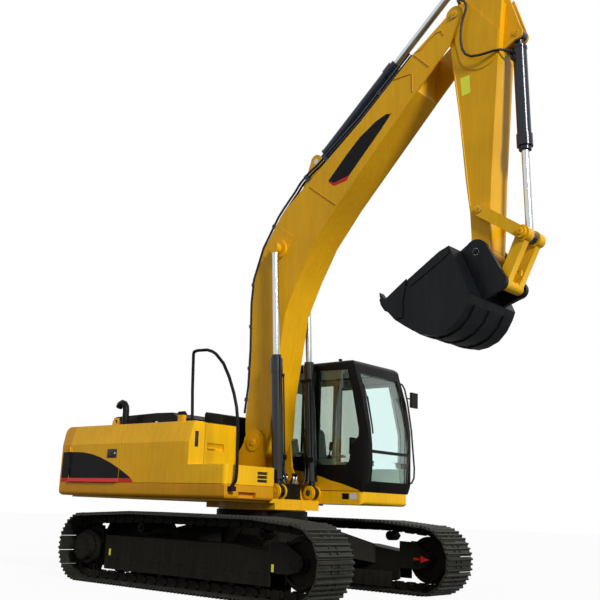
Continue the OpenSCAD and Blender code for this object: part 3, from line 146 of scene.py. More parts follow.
class Graph:
    """The node tree of a material or a world."""

    def __init__(self, owner: bpy.types.Material | bpy.types.World) -> None:
        """Starts an empty tree on its owner.

        Args:
            owner: The material or world that the tree is for.
        """
        owner.use_nodes = True
        self.tree = owner.node_tree
        self.tree.nodes.clear()

    def feed(self, target: bpy.types.NodeSocket, value: object) -> None:
        """Links one input to a Socket, or sets it to a number or to numbers.

        Args:
            target: The input.
            value: A Socket, a number or a tuple of numbers.
        """
        if isinstance(value, Socket):
            self.tree.links.new(value.link, target)
        else:
            target.default_value = value

    def add(
        self, kind: str, settings: dict, *values: object, output: str | int = 0, **named: object,
    ) -> Socket | None:
        """Adds one node and returns its output.

        Args:
            kind: The node's type.
            settings: Its properties, which are set first.
            values: The values or links of its inputs, in order.
            output: The output to return, by name or number.
            named: Values or links of inputs by name, with _ for a space.

        Returns:
            The node's output, if it has one.
        """
        node = self.tree.nodes.new(kind)
        for key, value in settings.items():
            setattr(node, key, value)
        for target, value in zip(node.inputs, values):
            self.feed(target, value)
        for key, value in named.items():
            self.feed(node.inputs[key.replace("_", " ")], value)
        return Socket(self, node.outputs[output]) if node.outputs else None

    def mix(self, factor: object, first: object, second: object) -> Socket:
        """Returns a colour between two, by a factor.

        Args:
            factor: 0 for the first and 1 for the second.
            first: A colour.
            second: Another.

        Returns:
            The colour.
        """
        node = self.tree.nodes.new("ShaderNodeMix")
        node.data_type = "RGBA"
        for place, value in ((0, factor), (6, first), (7, second)):
            self.feed(node.inputs[place], value)
        return Socket(self, node.outputs[2])

    def seen(self, *more: str) -> Socket:
        """Returns 1 for rays from the camera, for those that a pane sends on, and for more kinds of them.

        Args:
            more: The light path's names of further kinds of rays.

        Returns:
            The value.
        """
        total = self.add("ShaderNodeLightPath", {}, output="Is Camera Ray")
        for name in ("Is Transmission Ray", *more):
            total = total.most(self.add("ShaderNodeLightPath", {}, output=name))
        return total


class Surface(Graph):
    """The nodes of one material about its main shader."""

    def __init__(self, name: str) -> None:
        """Starts a material of a name.

        Args:
            name: The material's name.
        """
        self.material = bpy.data.materials.new(name)
        super().__init__(self.material)
        self.shader = self.tree.nodes.new("ShaderNodeBsdfPrincipled")
        self.output = self.tree.nodes.new("ShaderNodeOutputMaterial")
        self.show(Socket(self, self.shader.outputs[0]))
        self.place = self.add("ShaderNodeTexCoord", {}, output="Object")

    def show(self, shader: Socket) -> None:
        """Makes a shader the one that is seen."""
        self.feed(self.output.inputs[0], shader)

    def finished(self, **values: object) -> bpy.types.Material:
        """Sets inputs of the shader by name, with _ for a space, and returns the material.

        Args:
            values: Values or links by the inputs' names.

        Returns:
            The material.
        """
        for key, value in values.items():
            self.feed(self.shader.inputs[key.replace("_", " ")], value)
        return self.material

    def stretched(self, x: float, y: float, z: float) -> Socket:
        """Returns the place with each of its coordinates scaled."""
        return self.add("ShaderNodeMapping", {}, self.place, Scale=(x, y, z))

    def noise(
        self, scale: float, detail: float = 4.0, rough: float = 0.55, where: Socket | None = None,
    ) -> Socket:
        """Returns soft random values about 0.5.

        Args:
            scale: Features in a metre.
            detail: Finer layers added.
            rough: Their strength.
            where: The place, if it is stretched.

        Returns:
            The values.
        """
        place = where or self.place
        return self.add("ShaderNodeTexNoise", {}, place, Scale=scale, Detail=detail, Roughness=rough)

    def bump(self, height: Socket, depth: float, strength: float) -> Socket:
        """Returns a surface direction bumped by a height, in metres of depth."""
        return self.add("ShaderNodeBump", {}, Strength=strength, Distance=depth, Height=height)


@dataclass(frozen=True)
class Paint:
    """Sprayed paint on steel, with its own unevenness, rain streaks and dust towards the ground."""

    name: str
    colour: Colour
    gloss: float = 0.36
    coat: float = 0.06
    sheen: float = 0.15
    uneven: float = 0.09
    dust: float = 0.09
    dust_top: float = 1.6
    peel: float = 0.00012

    def material(self) -> bpy.types.Material:
        """Returns the finished material.

        Returns:
            The material.
        """
        g = Surface(self.name)
        broad, fine = g.noise(0.9, 3.0), g.noise(14.0, 5.0)
        streaks = g.noise(5.0, 5.0, 0.6, g.stretched(4.0, 4.0, 0.35))
        height = g.add("ShaderNodeSeparateXYZ", {}, g.place, output="Z")
        low = 1.0 - height.over(0.0, self.dust_top)
        dirt = (low * (0.35 + fine) * (0.3 + streaks) * self.dust * 1.4).clamped()
        deep = tuple(c * (1.0 - 1.6 * self.uneven) for c in self.colour)
        pale = tuple(min(1.0, c * (1.0 + 1.2 * self.uneven) + 0.012 * self.uneven) for c in self.colour)
        base = g.mix((broad * 0.6 + streaks * 0.4).over(0.30, 0.72), rgba(deep), rgba(pale))
        grain, rub = g.noise(420.0, 2.0), g.noise(38.0, 6.0, 0.7)
        return g.finished(
            Base_Color=g.mix(dirt, base, rgba(DUST)),
            Roughness=(self.gloss + (rub - 0.5) * 0.16 + dirt * 0.5 + (streaks - 0.5) * 0.08).clamped(),
            Coat_Weight=self.coat, Coat_Roughness=0.15, Specular_IOR_Level=self.sheen,
            Normal=g.bump(grain, self.peel * 4.0, 0.35),
        )


def printed(name: str, colour: Colour, gloss: float, coat: float, dust: float, sheen: float = 0.15) -> Paint:
    """Returns the look of a printed film."""
    return Paint(name, colour, gloss, coat, sheen, uneven=0.05, dust=dust)


@dataclass(frozen=True)
class TrackSteel:
    """Bare cast steel of the tracks: dark, with brown dust in its hollows and a rubbed sheen."""

    name: str = "track steel"
    colour: Colour = (0.020, 0.021, 0.017)
    worn: Colour = (0.085, 0.085, 0.070)
    rust: Colour = (0.040, 0.034, 0.022)

    def material(self) -> bpy.types.Material:
        """Returns the finished material.

        Returns:
            The material.
        """
        g = Surface(self.name)
        patches = g.noise(7.0, 6.0, 0.65).over(0.45, 0.68)
        rub = g.noise(26.0, 6.0, 0.7).over(0.50, 0.78)
        grain = g.noise(160.0, 5.0, 0.7)
        base = g.mix(patches * 0.7, rgba(self.colour), rgba(self.rust))
        return g.finished(
            Base_Color=g.mix(rub * 0.45, base, rgba(self.worn)),
            Roughness=(0.48 + patches * 0.22 - rub * 0.12 + (grain - 0.5) * 0.2).clamped(),
            Metallic=0.35, Specular_IOR_Level=0.35, Normal=g.bump(grain, 0.0012, 0.6),
        )


@dataclass(frozen=True)
class BrightSteel:
    """Machined or plated steel, with fine turning marks and a thin oil film."""

    name: str
    colour: Colour
    rough: float
    marks: float

    def material(self) -> bpy.types.Material:
        """Returns the finished material.

        Returns:
            The material.
        """
        g = Surface(self.name)
        smear = g.noise(9.0, 4.0)
        marks = g.noise(300.0, 2.0, 0.5, g.stretched(1.0, 0.15, 1.0))
        dull = rgba(tuple(c * 0.72 for c in self.colour))
        return g.finished(
            Base_Color=g.mix(smear.over(0.35, 0.75) * 0.25, rgba(self.colour), dull),
            Roughness=(self.rough + (smear - 0.5) * 0.10 + (marks - 0.5) * self.marks).clamped(),
            Metallic=1.0, Normal=g.bump(marks, 0.00008, 0.25),
        )


@dataclass(frozen=True)
class Moulded:
    """Rubber or moulded plastic, with a fine grain and a dusty bloom."""

    name: str
    colour: Colour
    rough: float
    grain: float = 900.0
    bloom: float = 0.12
    depth: float = 0.0004

    def material(self) -> bpy.types.Material:
        """Returns the finished material.

        Returns:
            The material.
        """
        g = Surface(self.name)
        cloud, pits = g.noise(4.0, 5.0), g.noise(self.grain, 2.0)
        return g.finished(
            Base_Color=g.mix(cloud.over(0.4, 0.8) * self.bloom, rgba(self.colour), rgba(BLOOM)),
            Roughness=(self.rough + (cloud - 0.5) * 0.2).clamped(),
            Specular_IOR_Level=0.3, Normal=g.bump(pits, self.depth, 0.5),
        )


@dataclass(frozen=True)
class Woven:
    """Upholstery cloth with a crossed weave."""

    name: str
    colour: Colour
    threads: float = 330.0

    def material(self) -> bpy.types.Material:
        """Returns the finished material.

        Returns:
            The material.
        """
        g = Surface(self.name)
        settings, scale = {"wave_type": "BANDS"}, self.threads / 6.2832
        across, along = (
            g.add("ShaderNodeTexWave", {**settings, "bands_direction": way}, g.place, Scale=scale)
            for way in ("X", "Z")
        )
        weave = across * 0.5 + along * 0.5
        cloud = g.noise(6.0, 4.0)
        shade = rgba(tuple(c * 0.6 for c in self.colour))
        return g.finished(
            Base_Color=g.mix((weave * 0.5 + cloud * 0.5).clamped(), shade, rgba(self.colour)),
            Roughness=(0.85 + (cloud - 0.5) * 0.1).clamped(),
            Sheen_Weight=0.25, Normal=g.bump(weave, 0.0006, 0.5),
        )


@dataclass(frozen=True)
class Pane:
    """Tinted safety glass with a film of dust, which lets the lamps through."""

    name: str
    tint: Colour

    def material(self) -> bpy.types.Material:
        """Returns the finished material.

        Returns:
            The material.
        """
        g = Surface(self.name)
        film = g.noise(3.0, 5.0, 0.6)
        lamps = g.add("ShaderNodeLightPath", {}, output="Is Shadow Ray")
        through = g.add("ShaderNodeBsdfTransparent", {}, rgba(self.tint))
        g.show(g.add("ShaderNodeMixShader", {}, lamps, Socket(g, g.shader.outputs[0]), through))
        return g.finished(
            Base_Color=rgba(self.tint), Roughness=(0.01 + film.over(0.45, 0.9) * 0.05).clamped(),
            IOR=1.45, Transmission_Weight=1.0,
        )


class Finish(Enum):
    """The finishes of the machine, each with the record's slot that it stands for."""

    YELLOW = (Paint("yellow paint", (0.80, 0.415, 0.004)), "yellow")
    BRIGHT = (Paint("bright yellow paint", (0.84, 0.460, 0.005), dust_top=1.3), "bright_yellow")
    # A darker copy of the yellow paint on the same slot: painted shade for the tail and the skirts, which
    # stand farther from the light; the boom's welds take it too.
    DEEP = (Paint("yellow paint with painted shade", (0.62, 0.280, 0.003), dust=0.10), "yellow")
    BLACK = (
        Paint("black paint", (0.0050, 0.0050, 0.0045), 0.34, 0.02, 0.08, uneven=0.25, dust=0.04),
        "black_paint",
    )
    BLUE_BLACK = (
        Paint("blue-black paint", (0.010, 0.017, 0.034), 0.22, 0.30, uneven=0.2, dust=0.0), "blue_black",
    )
    BARREL = (
        Paint("cylinder black", (0.0045, 0.0055, 0.0060), 0.20, 0.30, 0.30, uneven=0.2, dust=0.0),
        "black_paint",
    )
    FRAME = (
        Paint("frame black", (0.0035, 0.0033, 0.0025), 0.5, 0.0, 0.045, uneven=0.3, dust=0.04, dust_top=1.3),
        "frame_black",
    )
    BUCKET = (
        Paint("bucket black", (0.0042, 0.0062, 0.0082), 0.40, 0.02, 0.13, uneven=0.35, dust=0.0),
        "bucket_black",
    )
    ENGINE = (
        Paint("engine grey", (0.12, 0.125, 0.13), 0.55, 0.0, uneven=0.3, dust=0.2, dust_top=2.0),
        "engine_grey",
    )
    TRACK = (TrackSteel(), "track_steel")
    CHROME = (BrightSteel("chrome", (0.52, 0.55, 0.56), 0.17, 0.04), "chrome")
    PIN = (BrightSteel("pin steel", (0.42, 0.41, 0.40), 0.38, 0.12), "pin_steel")
    STEEL = (BrightSteel("plated steel", (0.62, 0.61, 0.58), 0.30, 0.08), "pin_steel")
    RUBBER = (Moulded("hose rubber", (0.014, 0.014, 0.015), 0.48), "hose_rubber")
    PLASTIC = (Moulded("black plastic", (0.020, 0.020, 0.021), 0.55, 700.0), "black_plastic")
    TRIM = (Moulded("cab trim", (0.46, 0.50, 0.45), 0.55, 500.0), "black_plastic")
    CLOTH = (Woven("seat cloth", (0.150, 0.165, 0.180)), "seat_fabric")
    GLASS = (Pane("tinted glass", (0.855, 0.985, 0.965)), "cab_glass")
    # A darker copy of the tinted glass for the cab's right panes: painted shade standing in for their grey
    # reflection.
    SHADED = (Pane("glass with painted shade", (0.45, 0.49, 0.42)), "cab_glass")
    DECAL_BLACK = (printed("black film", (0.0060, 0.0060, 0.0065), 0.42, 0.02, 0.02, 0.07), "black_paint")
    DECAL_RED = (printed("red film", (0.60, 0.010, 0.010), 0.40, 0.1, 0.02), "black_paint")
    DECAL_LIME = (printed("lime film", (0.84, 0.90, 0.04), 0.35, 0.4, 0.0), "bright_yellow")
    DECAL_WHITE = (printed("white film", (0.70, 0.70, 0.68), 0.35, 0.4, 0.1), "bright_yellow")


class Finisher:
    """Makes each finish's material once and gives it to pieces."""

    def __init__(self) -> None:
        """Starts with no material made."""
        self.made: dict[Finish, bpy.types.Material] = {}

    def material(self, finish: Finish) -> bpy.types.Material:
        """Returns the finish's material.

        Args:
            finish: The finish.

        Returns:
            The material.
        """
        if finish not in self.made:
            self.made[finish] = finish.value[0].material()
        return self.made[finish]

    def dress(self, piece: bpy.types.Object, finish: Finish) -> bpy.types.Object:
        """Gives a piece one finish over all of it, and returns the piece.

        Args:
            piece: The piece.
            finish: Its finish.

        Returns:
            The piece.
        """
        slots = piece.data.materials
        if slots:
            for index in range(len(slots)):
                slots[index] = self.material(finish)
        else:
            slots.append(self.material(finish))
        return piece

    def repaint(self, piece: bpy.types.Object, finish: Finish, chosen: Test) -> None:
        """Gives a second finish to the faces of a piece that a test picks.

        Args:
            piece: The piece.
            finish: Its second finish.
            chosen: The test of a face.
        """
        piece.data.materials.append(self.material(finish))
        for face in piece.data.polygons:
            if chosen(face):
                face.material_index = 1


FINISHER = Finisher()


class Shape:
    """A mesh in the making."""

    def __init__(self, source: bpy.types.Mesh | None = None) -> None:
        """Starts with no faces, or with a mesh's faces joined where their corners meet.

        Args:
            source: The mesh, if any.
        """
        self.bm = bmesh.new()
        if source:
            self.bm.from_mesh(source)
            bmesh.ops.remove_doubles(self.bm, verts=self.bm.verts[:], dist=WELD)

    def _bevel(self, edges: Iterable[bmesh.types.BMEdge], width: float) -> None:
        """Rounds edges by a width.

        Args:
            edges: The edges.
            width: The width.
        """
        bmesh.ops.bevel(
            self.bm, geom=list(edges), offset=width, offset_type="OFFSET", affect="EDGES", segments=2,
            profile=0.5, material=-1, clamp_overlap=True,
        )

    def _soften(self, verts: Iterable[bmesh.types.BMVert], width: float) -> None:
        """Rounds the sharp edges between vertices by a width.

        Args:
            verts: The vertices.
            width: The width, or 0 for none.
        """
        edges = {e for v in verts for e in v.link_edges}
        if width > 0.0:
            self._bevel([e for e in edges if len(e.link_faces) == 2 and e.calc_face_angle(0.0) > 0.5], width)

    def block(self, low: Point, high: Point, bevel: float = 0.0) -> "Shape":
        """Adds a box between its lowest and its highest corner, with rounded edges of a width.

        Args:
            low: Its lowest corner.
            high: Its highest corner.
            bevel: The width of its rounded edges.

        Returns:
            The shape, for the next call on it.
        """
        low, high = Vector(low), Vector(high)
        spot = Matrix.Translation((low + high) / 2) @ Matrix.Diagonal((*(high - low), 1.0))
        self._soften(bmesh.ops.create_cube(self.bm, size=1.0, matrix=spot)["verts"], bevel)
        return self

    def blocks(self, *rows: tuple[Point, Point, float]) -> "Shape":
        """Adds boxes, each by its lowest and highest corner from the swing axis and its edges' width.

        Args:
            rows: The corners and the width of each.

        Returns:
            The shape, for the next call on it.
        """
        for low, high, bevel in rows:
            self.block(at(*low), at(*high), bevel)
        return self

    def bar(self, a: Point, b: Point, radius: float, sides: int = 20, end: float | None = None,
            bevel: float = 0.0) -> "Shape":
        """Adds a round bar or a cone.

        Args:
            a: The middle of its first end.
            b: The middle of its last end.
            radius: The radius at a.
            sides: Faces round it.
            end: The radius at b, where it differs.
            bevel: The width of its rounded rims.

        Returns:
            The shape, for the next call on it.
        """
        a, b = Vector(a), Vector(b)
        way = b - a
        spot = Matrix.Translation((a + b) / 2) @ way.to_track_quat("Z", "Y").to_matrix().to_4x4()
        verts = bmesh.ops.create_cone(
            self.bm, cap_ends=True, segments=sides, radius1=radius, radius2=radius if end is None else end,
            depth=way.length, matrix=spot,
        )["verts"]
        if bevel > 0.0:
            edges = {e for v in verts for e in v.link_edges}
            self._bevel([e for e in edges if any(len(f.verts) > 4 for f in e.link_faces)], bevel)
        return self

    def bars(self, *rows: tuple) -> "Shape":
        """Adds bars, each by its ends' middles from the swing axis and the rest of what a bar takes.

        Args:
            rows: The middles, radius, sides, end and bevel of each.

        Returns:
            The shape, for the next call on it.
        """
        for a, b, *rest in rows:
            self.bar(at(*a), at(*b), *rest)
        return self

    def slab(self, outline: Sequence[Point], push: Point, bevel: float = 0.0) -> "Shape":
        """Adds a flat outline pushed out to a thickness.

        Args:
            outline: Its corners in space.
            push: How far and which way it is pushed.
            bevel: The width of its rounded edges.

        Returns:
            The shape, for the next call on it.
        """
        face = self.bm.faces.new([self.bm.verts.new(p) for p in outline])
        new = bmesh.ops.extrude_face_region(self.bm, geom=[face])["geom"]
        verts = [g for g in new if isinstance(g, bmesh.types.BMVert)]
        bmesh.ops.translate(self.bm, vec=Vector(push), verts=verts)
        sides = [g for g in new if isinstance(g, bmesh.types.BMFace)]
        every = list({v for f in [face, *sides] for v in f.verts})
        bmesh.ops.recalc_face_normals(self.bm, faces=list({f for v in every for f in v.link_faces}))
        self._soften(every, bevel)
        return self

    def bolt(
        self, spot: Point, way: Point, size: float, height: float | None = None, washer: bool = True,
    ) -> "Shape":
        """Adds a hexagon head on a washer.

        Args:
            spot: The middle of its foot.
            way: The direction it stands in.
            size: The radius of its head.
            height: The height of its head.
            washer: Whether it has a washer.

        Returns:
            The shape, for the next call on it.
        """
        spot, way = Vector(spot), Vector(way).normalized()
        tall = height or size * 0.75
        if washer:
            self.bar(spot - way * 0.001, spot + way * size * 0.18, size * 1.45, 14)
        return self.bar(spot - way * 0.001, spot + way * tall, size, 6)

    def stamp(self, other: "Shape", places: Iterable[Matrix]) -> "Shape":
        """Adds copies of another shape at several places.

        Args:
            other: The shape that is copied.
            places: Where the copies go.

        Returns:
            The shape, for the next call on it.
        """
        mesh = bpy.data.meshes.new("stamp")
        other.bm.to_mesh(mesh)
        for place in places:
            before = len(self.bm.verts)
            self.bm.from_mesh(mesh)
            self.bm.verts.ensure_lookup_table()
            bmesh.ops.transform(self.bm, matrix=place, verts=self.bm.verts[before:])
        bpy.data.meshes.remove(mesh)
        return self

    def piece(self, name: str, body: str, finish: Finish, angle: float = 35.0) -> bpy.types.Object:
        """Finishes the mesh as a piece that rides on a body, and returns it.

        Args:
            name: The piece's name.
            body: The body that it moves with.
            finish: What it is made of or painted with.
            angle: Edges that turn by more than this many degrees stay sharp.

        Returns:
            The piece.
        """
        limit = math.radians(angle)
        for face in self.bm.faces:
            face.smooth = True
        for edge in self.bm.edges:
            edge.smooth = len(edge.link_faces) == 2 and edge.calc_face_angle(0.0) < limit
        mesh = bpy.data.meshes.new(name)
        self.bm.to_mesh(mesh)
        self.bm.free()
        piece = bpy.data.objects.new(name, mesh)
        bpy.context.scene.collection.objects.link(piece)
        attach(piece, body)
        FINISHER.dress(piece, finish)
        log.info("%s: %d faces", name, len(mesh.polygons))
        return piece


def strand(name: str, points: Sequence[Point], radius: float, body: str, finish: Finish,
           sides: int = 3) -> bpy.types.Object:
    """Makes a round strand along a smooth line, as a curve, and returns it.

    Args:
        name: The piece's name.
        points: The points that its middle passes.
        radius: Its radius.
        body: The body that it moves with.
        finish: What it is made of.
        sides: The curve's bevel resolution.

    Returns:
        The piece.
    """
    data = bpy.data.curves.new(name, "CURVE")
    data.dimensions, data.bevel_depth, data.bevel_resolution, data.use_fill_caps = "3D", 1.0, sides, True
    spline = data.splines.new("POLY")
    spline.points.add(len(points) - 1)
    for target, point in zip(spline.points, points):
        target.co, target.radius = (*point, 1.0), radius
    piece = bpy.data.objects.new(name, data)
    bpy.context.scene.collection.objects.link(piece)
    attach(piece, body)
    spline.use_smooth = True
    return FINISHER.dress(piece, finish)


def smooth_line(points: Sequence[Point], steps: int) -> list[Vector]:
    """Returns a line through the points with rounded turns, each stretch cut into steps.

    Args:
        points: The points to pass.
        steps: The parts that each stretch is cut into.

    Returns:
        The line.
    """
    pts = [Vector(p) for p in points]
    line: list[Vector] = []
    for i in range(len(pts) - 1):
        before, after = pts[max(i - 1, 0)], pts[min(i + 2, len(pts) - 1)]
        a, b = pts[i], pts[i + 1]
        for k in range(steps):
            t = k / steps
            line.append(
                0.5 * ((2 * a) + (b - before) * t + (2 * before - 5 * a + 4 * b - after) * t * t
                       + (3 * a - before - 3 * b + after) * t * t * t)
            )
    return [*line, pts[-1]]


@dataclass
class Studio:
    """The camera at the photograph's place, the lamps, the world and the floor."""

    camera_at: tuple[float, float, float] = (8.1427, -8.7921, 0.9832)
    yaw: float = 2.2847
    pitch: float = 0.2351
    roll: float = 0.0368
    lens: float = 52.80
    sensor: float = 36.0
    clip: tuple[float, float] = (0.1, 200.0)
    sky: Colour = (0.97, 0.98, 1.0)
    sky_light: float = 0.32
    floor_half: float = 60.0
    floor_lit: Colour = (0.25, 0.25, 0.25)
    floor_seen: Colour = (0.80, 0.80, 0.80)
    floor_glow: float = 0.93

    def camera(self) -> None:
        """Sets the camera."""
        scene = bpy.context.scene
        c, s = math.cos(self.yaw), math.sin(self.yaw)
        ahead = Vector((math.cos(self.pitch) * c, math.cos(self.pitch) * s, math.sin(self.pitch)))
        right = Vector((s, -c, 0.0))
        up = right.cross(ahead)
        turned_right = math.cos(self.roll) * right + math.sin(self.roll) * up
        turned_up = math.cos(self.roll) * up - math.sin(self.roll) * right
        data = bpy.data.cameras.new("camera")
        data.lens, data.sensor_width = self.lens, self.sensor
        data.clip_start, data.clip_end = self.clip
        camera = bpy.data.objects.new("camera", data)
        place = Matrix((turned_right, turned_up, -ahead)).transposed().to_4x4()
        camera.matrix_world = Matrix.Translation(at(*self.camera_at)) @ place
        scene.collection.objects.link(camera)
        scene.camera = camera
        scene.view_settings.view_transform = "Standard"

    def sun(self, name: str, towards: Point, strength: float, angle: float, colour: Colour) -> None:
        """Adds a soft lamp that shines from one direction.

        Args:
            name: Its name.
            towards: The direction from the machine to the lamp.
            strength: Its strength.
            angle: The width of its soft edge in degrees.
            colour: Its colour.
        """
        data = bpy.data.lights.new(name, "SUN")
        data.energy, data.angle, data.color = strength, math.radians(angle), colour
        lamp = bpy.data.objects.new(name, data)
        lamp.rotation_mode = "QUATERNION"
        lamp.rotation_quaternion = Vector(towards).to_track_quat("Z", "Y")
        bpy.context.scene.collection.objects.link(lamp)

    def world(self) -> None:
        """Sets a world that is white where it is seen and soft where it lights."""
        world = bpy.data.worlds.new("studio")
        bpy.context.scene.world = world
        g = Graph(world)
        light = g.add("ShaderNodeBackground", {}, rgba(self.sky), self.sky_light)
        white = g.add("ShaderNodeBackground", {}, rgba(WHITE), 1.0)
        shown = g.add("ShaderNodeMixShader", {}, g.seen("Is Glossy Ray"), light, white)
        g.add("ShaderNodeOutputWorld", {}, shown)

    def floor(self) -> None:
        """Lays the pale floor."""
        shape = Shape()
        bmesh.ops.create_grid(shape.bm, x_segments=1, y_segments=1, size=self.floor_half)
        mesh = bpy.data.meshes.new("floor")
        shape.bm.to_mesh(mesh)
        shape.bm.free()
        floor = bpy.data.objects.new("floor", mesh)
        bpy.context.scene.collection.objects.link(floor)
        material = bpy.data.materials.new("pale floor")
        mesh.materials.append(material)
        g = Graph(material)
        seen = g.seen()
        matt = g.add("ShaderNodeBsdfDiffuse", {}, g.mix(seen, rgba(self.floor_lit), rgba(self.floor_seen)))
        glow = g.add("ShaderNodeEmission", {}, rgba(WHITE), 1.0)
        shown = g.add("ShaderNodeMixShader", {}, seen * self.floor_glow, matt, glow)
        g.add("ShaderNodeOutputMaterial", {}, shown)

    def build(self) -> None:
        """Builds the whole studio."""
        self.camera()
        self.sun("key", (0.89, -0.29, 0.50), 3.10, 12.0, (1.0, 0.98, 0.94))
        self.sun("fill", (-0.35, -0.85, 0.55), 0.12, 60.0, (0.95, 0.97, 1.0))
        self.world()
        self.floor()


@dataclass
class Hoses:
    """The hoses, each along its own route."""

    radius: float = 0.016
    bend: Outline = (
        (0.2222, 4.8683), (0.258, 4.924), (0.300, 4.978), (0.345, 5.029), (0.392, 5.078), (0.440, 5.128),
        (0.490, 5.179), (0.541, 5.231), (0.585, 5.281), (0.622, 5.328), (0.661, 5.3688), (0.6998, 5.3998),
    )
    bend_y: tuple[float, ...] = (-0.222, -0.165, 0.165, 0.222)
    arm_route: tuple[Point, ...] = (
        (3.100, -0.1203, 7.245), (3.100, -0.134, 7.245), (3.108, -0.183, 7.240), (3.132, -0.224, 7.225),
        (3.167, -0.252, 7.203), (3.209, -0.262, 7.177), (3.242, -0.262, 7.147), (3.264, -0.262, 7.107),
        (3.270, -0.262, 7.062), (3.264, -0.262, 7.030), (3.249, -0.262, 6.985), (3.226, -0.262, 6.925),
        (3.206, -0.262, 6.855), (3.194, -0.262, 6.760), (3.191, -0.262, 6.640), (3.208, -0.262, 6.520),
        (3.252, -0.262, 6.430), (3.330, -0.262, 6.375), (3.430, -0.262, 6.355), (3.530, -0.258, 6.352),
        (3.620, -0.238, 6.364), (3.688, -0.195, 6.375), (3.731, -0.140, 6.378), (3.746, -0.090, 6.378),
        (3.746, -0.0485, 6.378),
    )
    lift: Point = (0.565, 1.213)
    eye: Point = (0.336, 4.450)
    lift_y: float = 0.335
    apart: float = 0.028
    steps: tuple[Point, ...] = (
        (0.3147, 1.0, 0.090), (0.270, 1.0, 0.090), (0.220, 1.1, 0.096), (0.165, 1.3, 0.112),
        (0.110, 1.5, 0.130),
    )

    def on_cylinder(self, k: float, h: float, y: float) -> Vector:
        """Returns a place k along a boom cylinder and h to its front.

        Args:
            k: Metres up from the foot pin.
            h: Metres to the front.
            y: Metres to the left.

        Returns:
            The place.
        """
        way = (Vector(self.eye) - Vector(self.lift)).normalized()
        spot = Vector(self.lift) + k * way + h * Vector((way.y, -way.x))
        return at(spot.x, y, spot.y)

    def lay(self, name: str, node: str, body: str, line: Sequence[Vector]) -> None:
        """Args:
            name: Its name.
            node: The node that it stands for.
            body: The body that it moves with.
            line: The points of its middle.
        """
        piece = strand(name, line, self.radius, body, Finish.RUBBER)
        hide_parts(node)
        2 * self.radius

    def build(self) -> None:
        """Lays every hose."""
        for i, y in enumerate(self.bend_y):
            self.lay(f"boom_hose_{i + 1}", "boom_hoses", "boom", drawn(self.bend, y))
        self.lay("arm_cylinder_hose", "arm_hose", "arm", [at(*p) for p in self.arm_route])
        for s, side in SIDES:
            for end, h in (("rear", -self.apart), ("front", self.apart)):
                route = [
                    self.on_cylinder(k, h * wide, s * (self.lift_y - deep)) for k, wide, deep in self.steps
                ]
                self.lay(f"cylinder_hose_{side}_{end}", "cylinder_hoses", "boom_barrels", route)


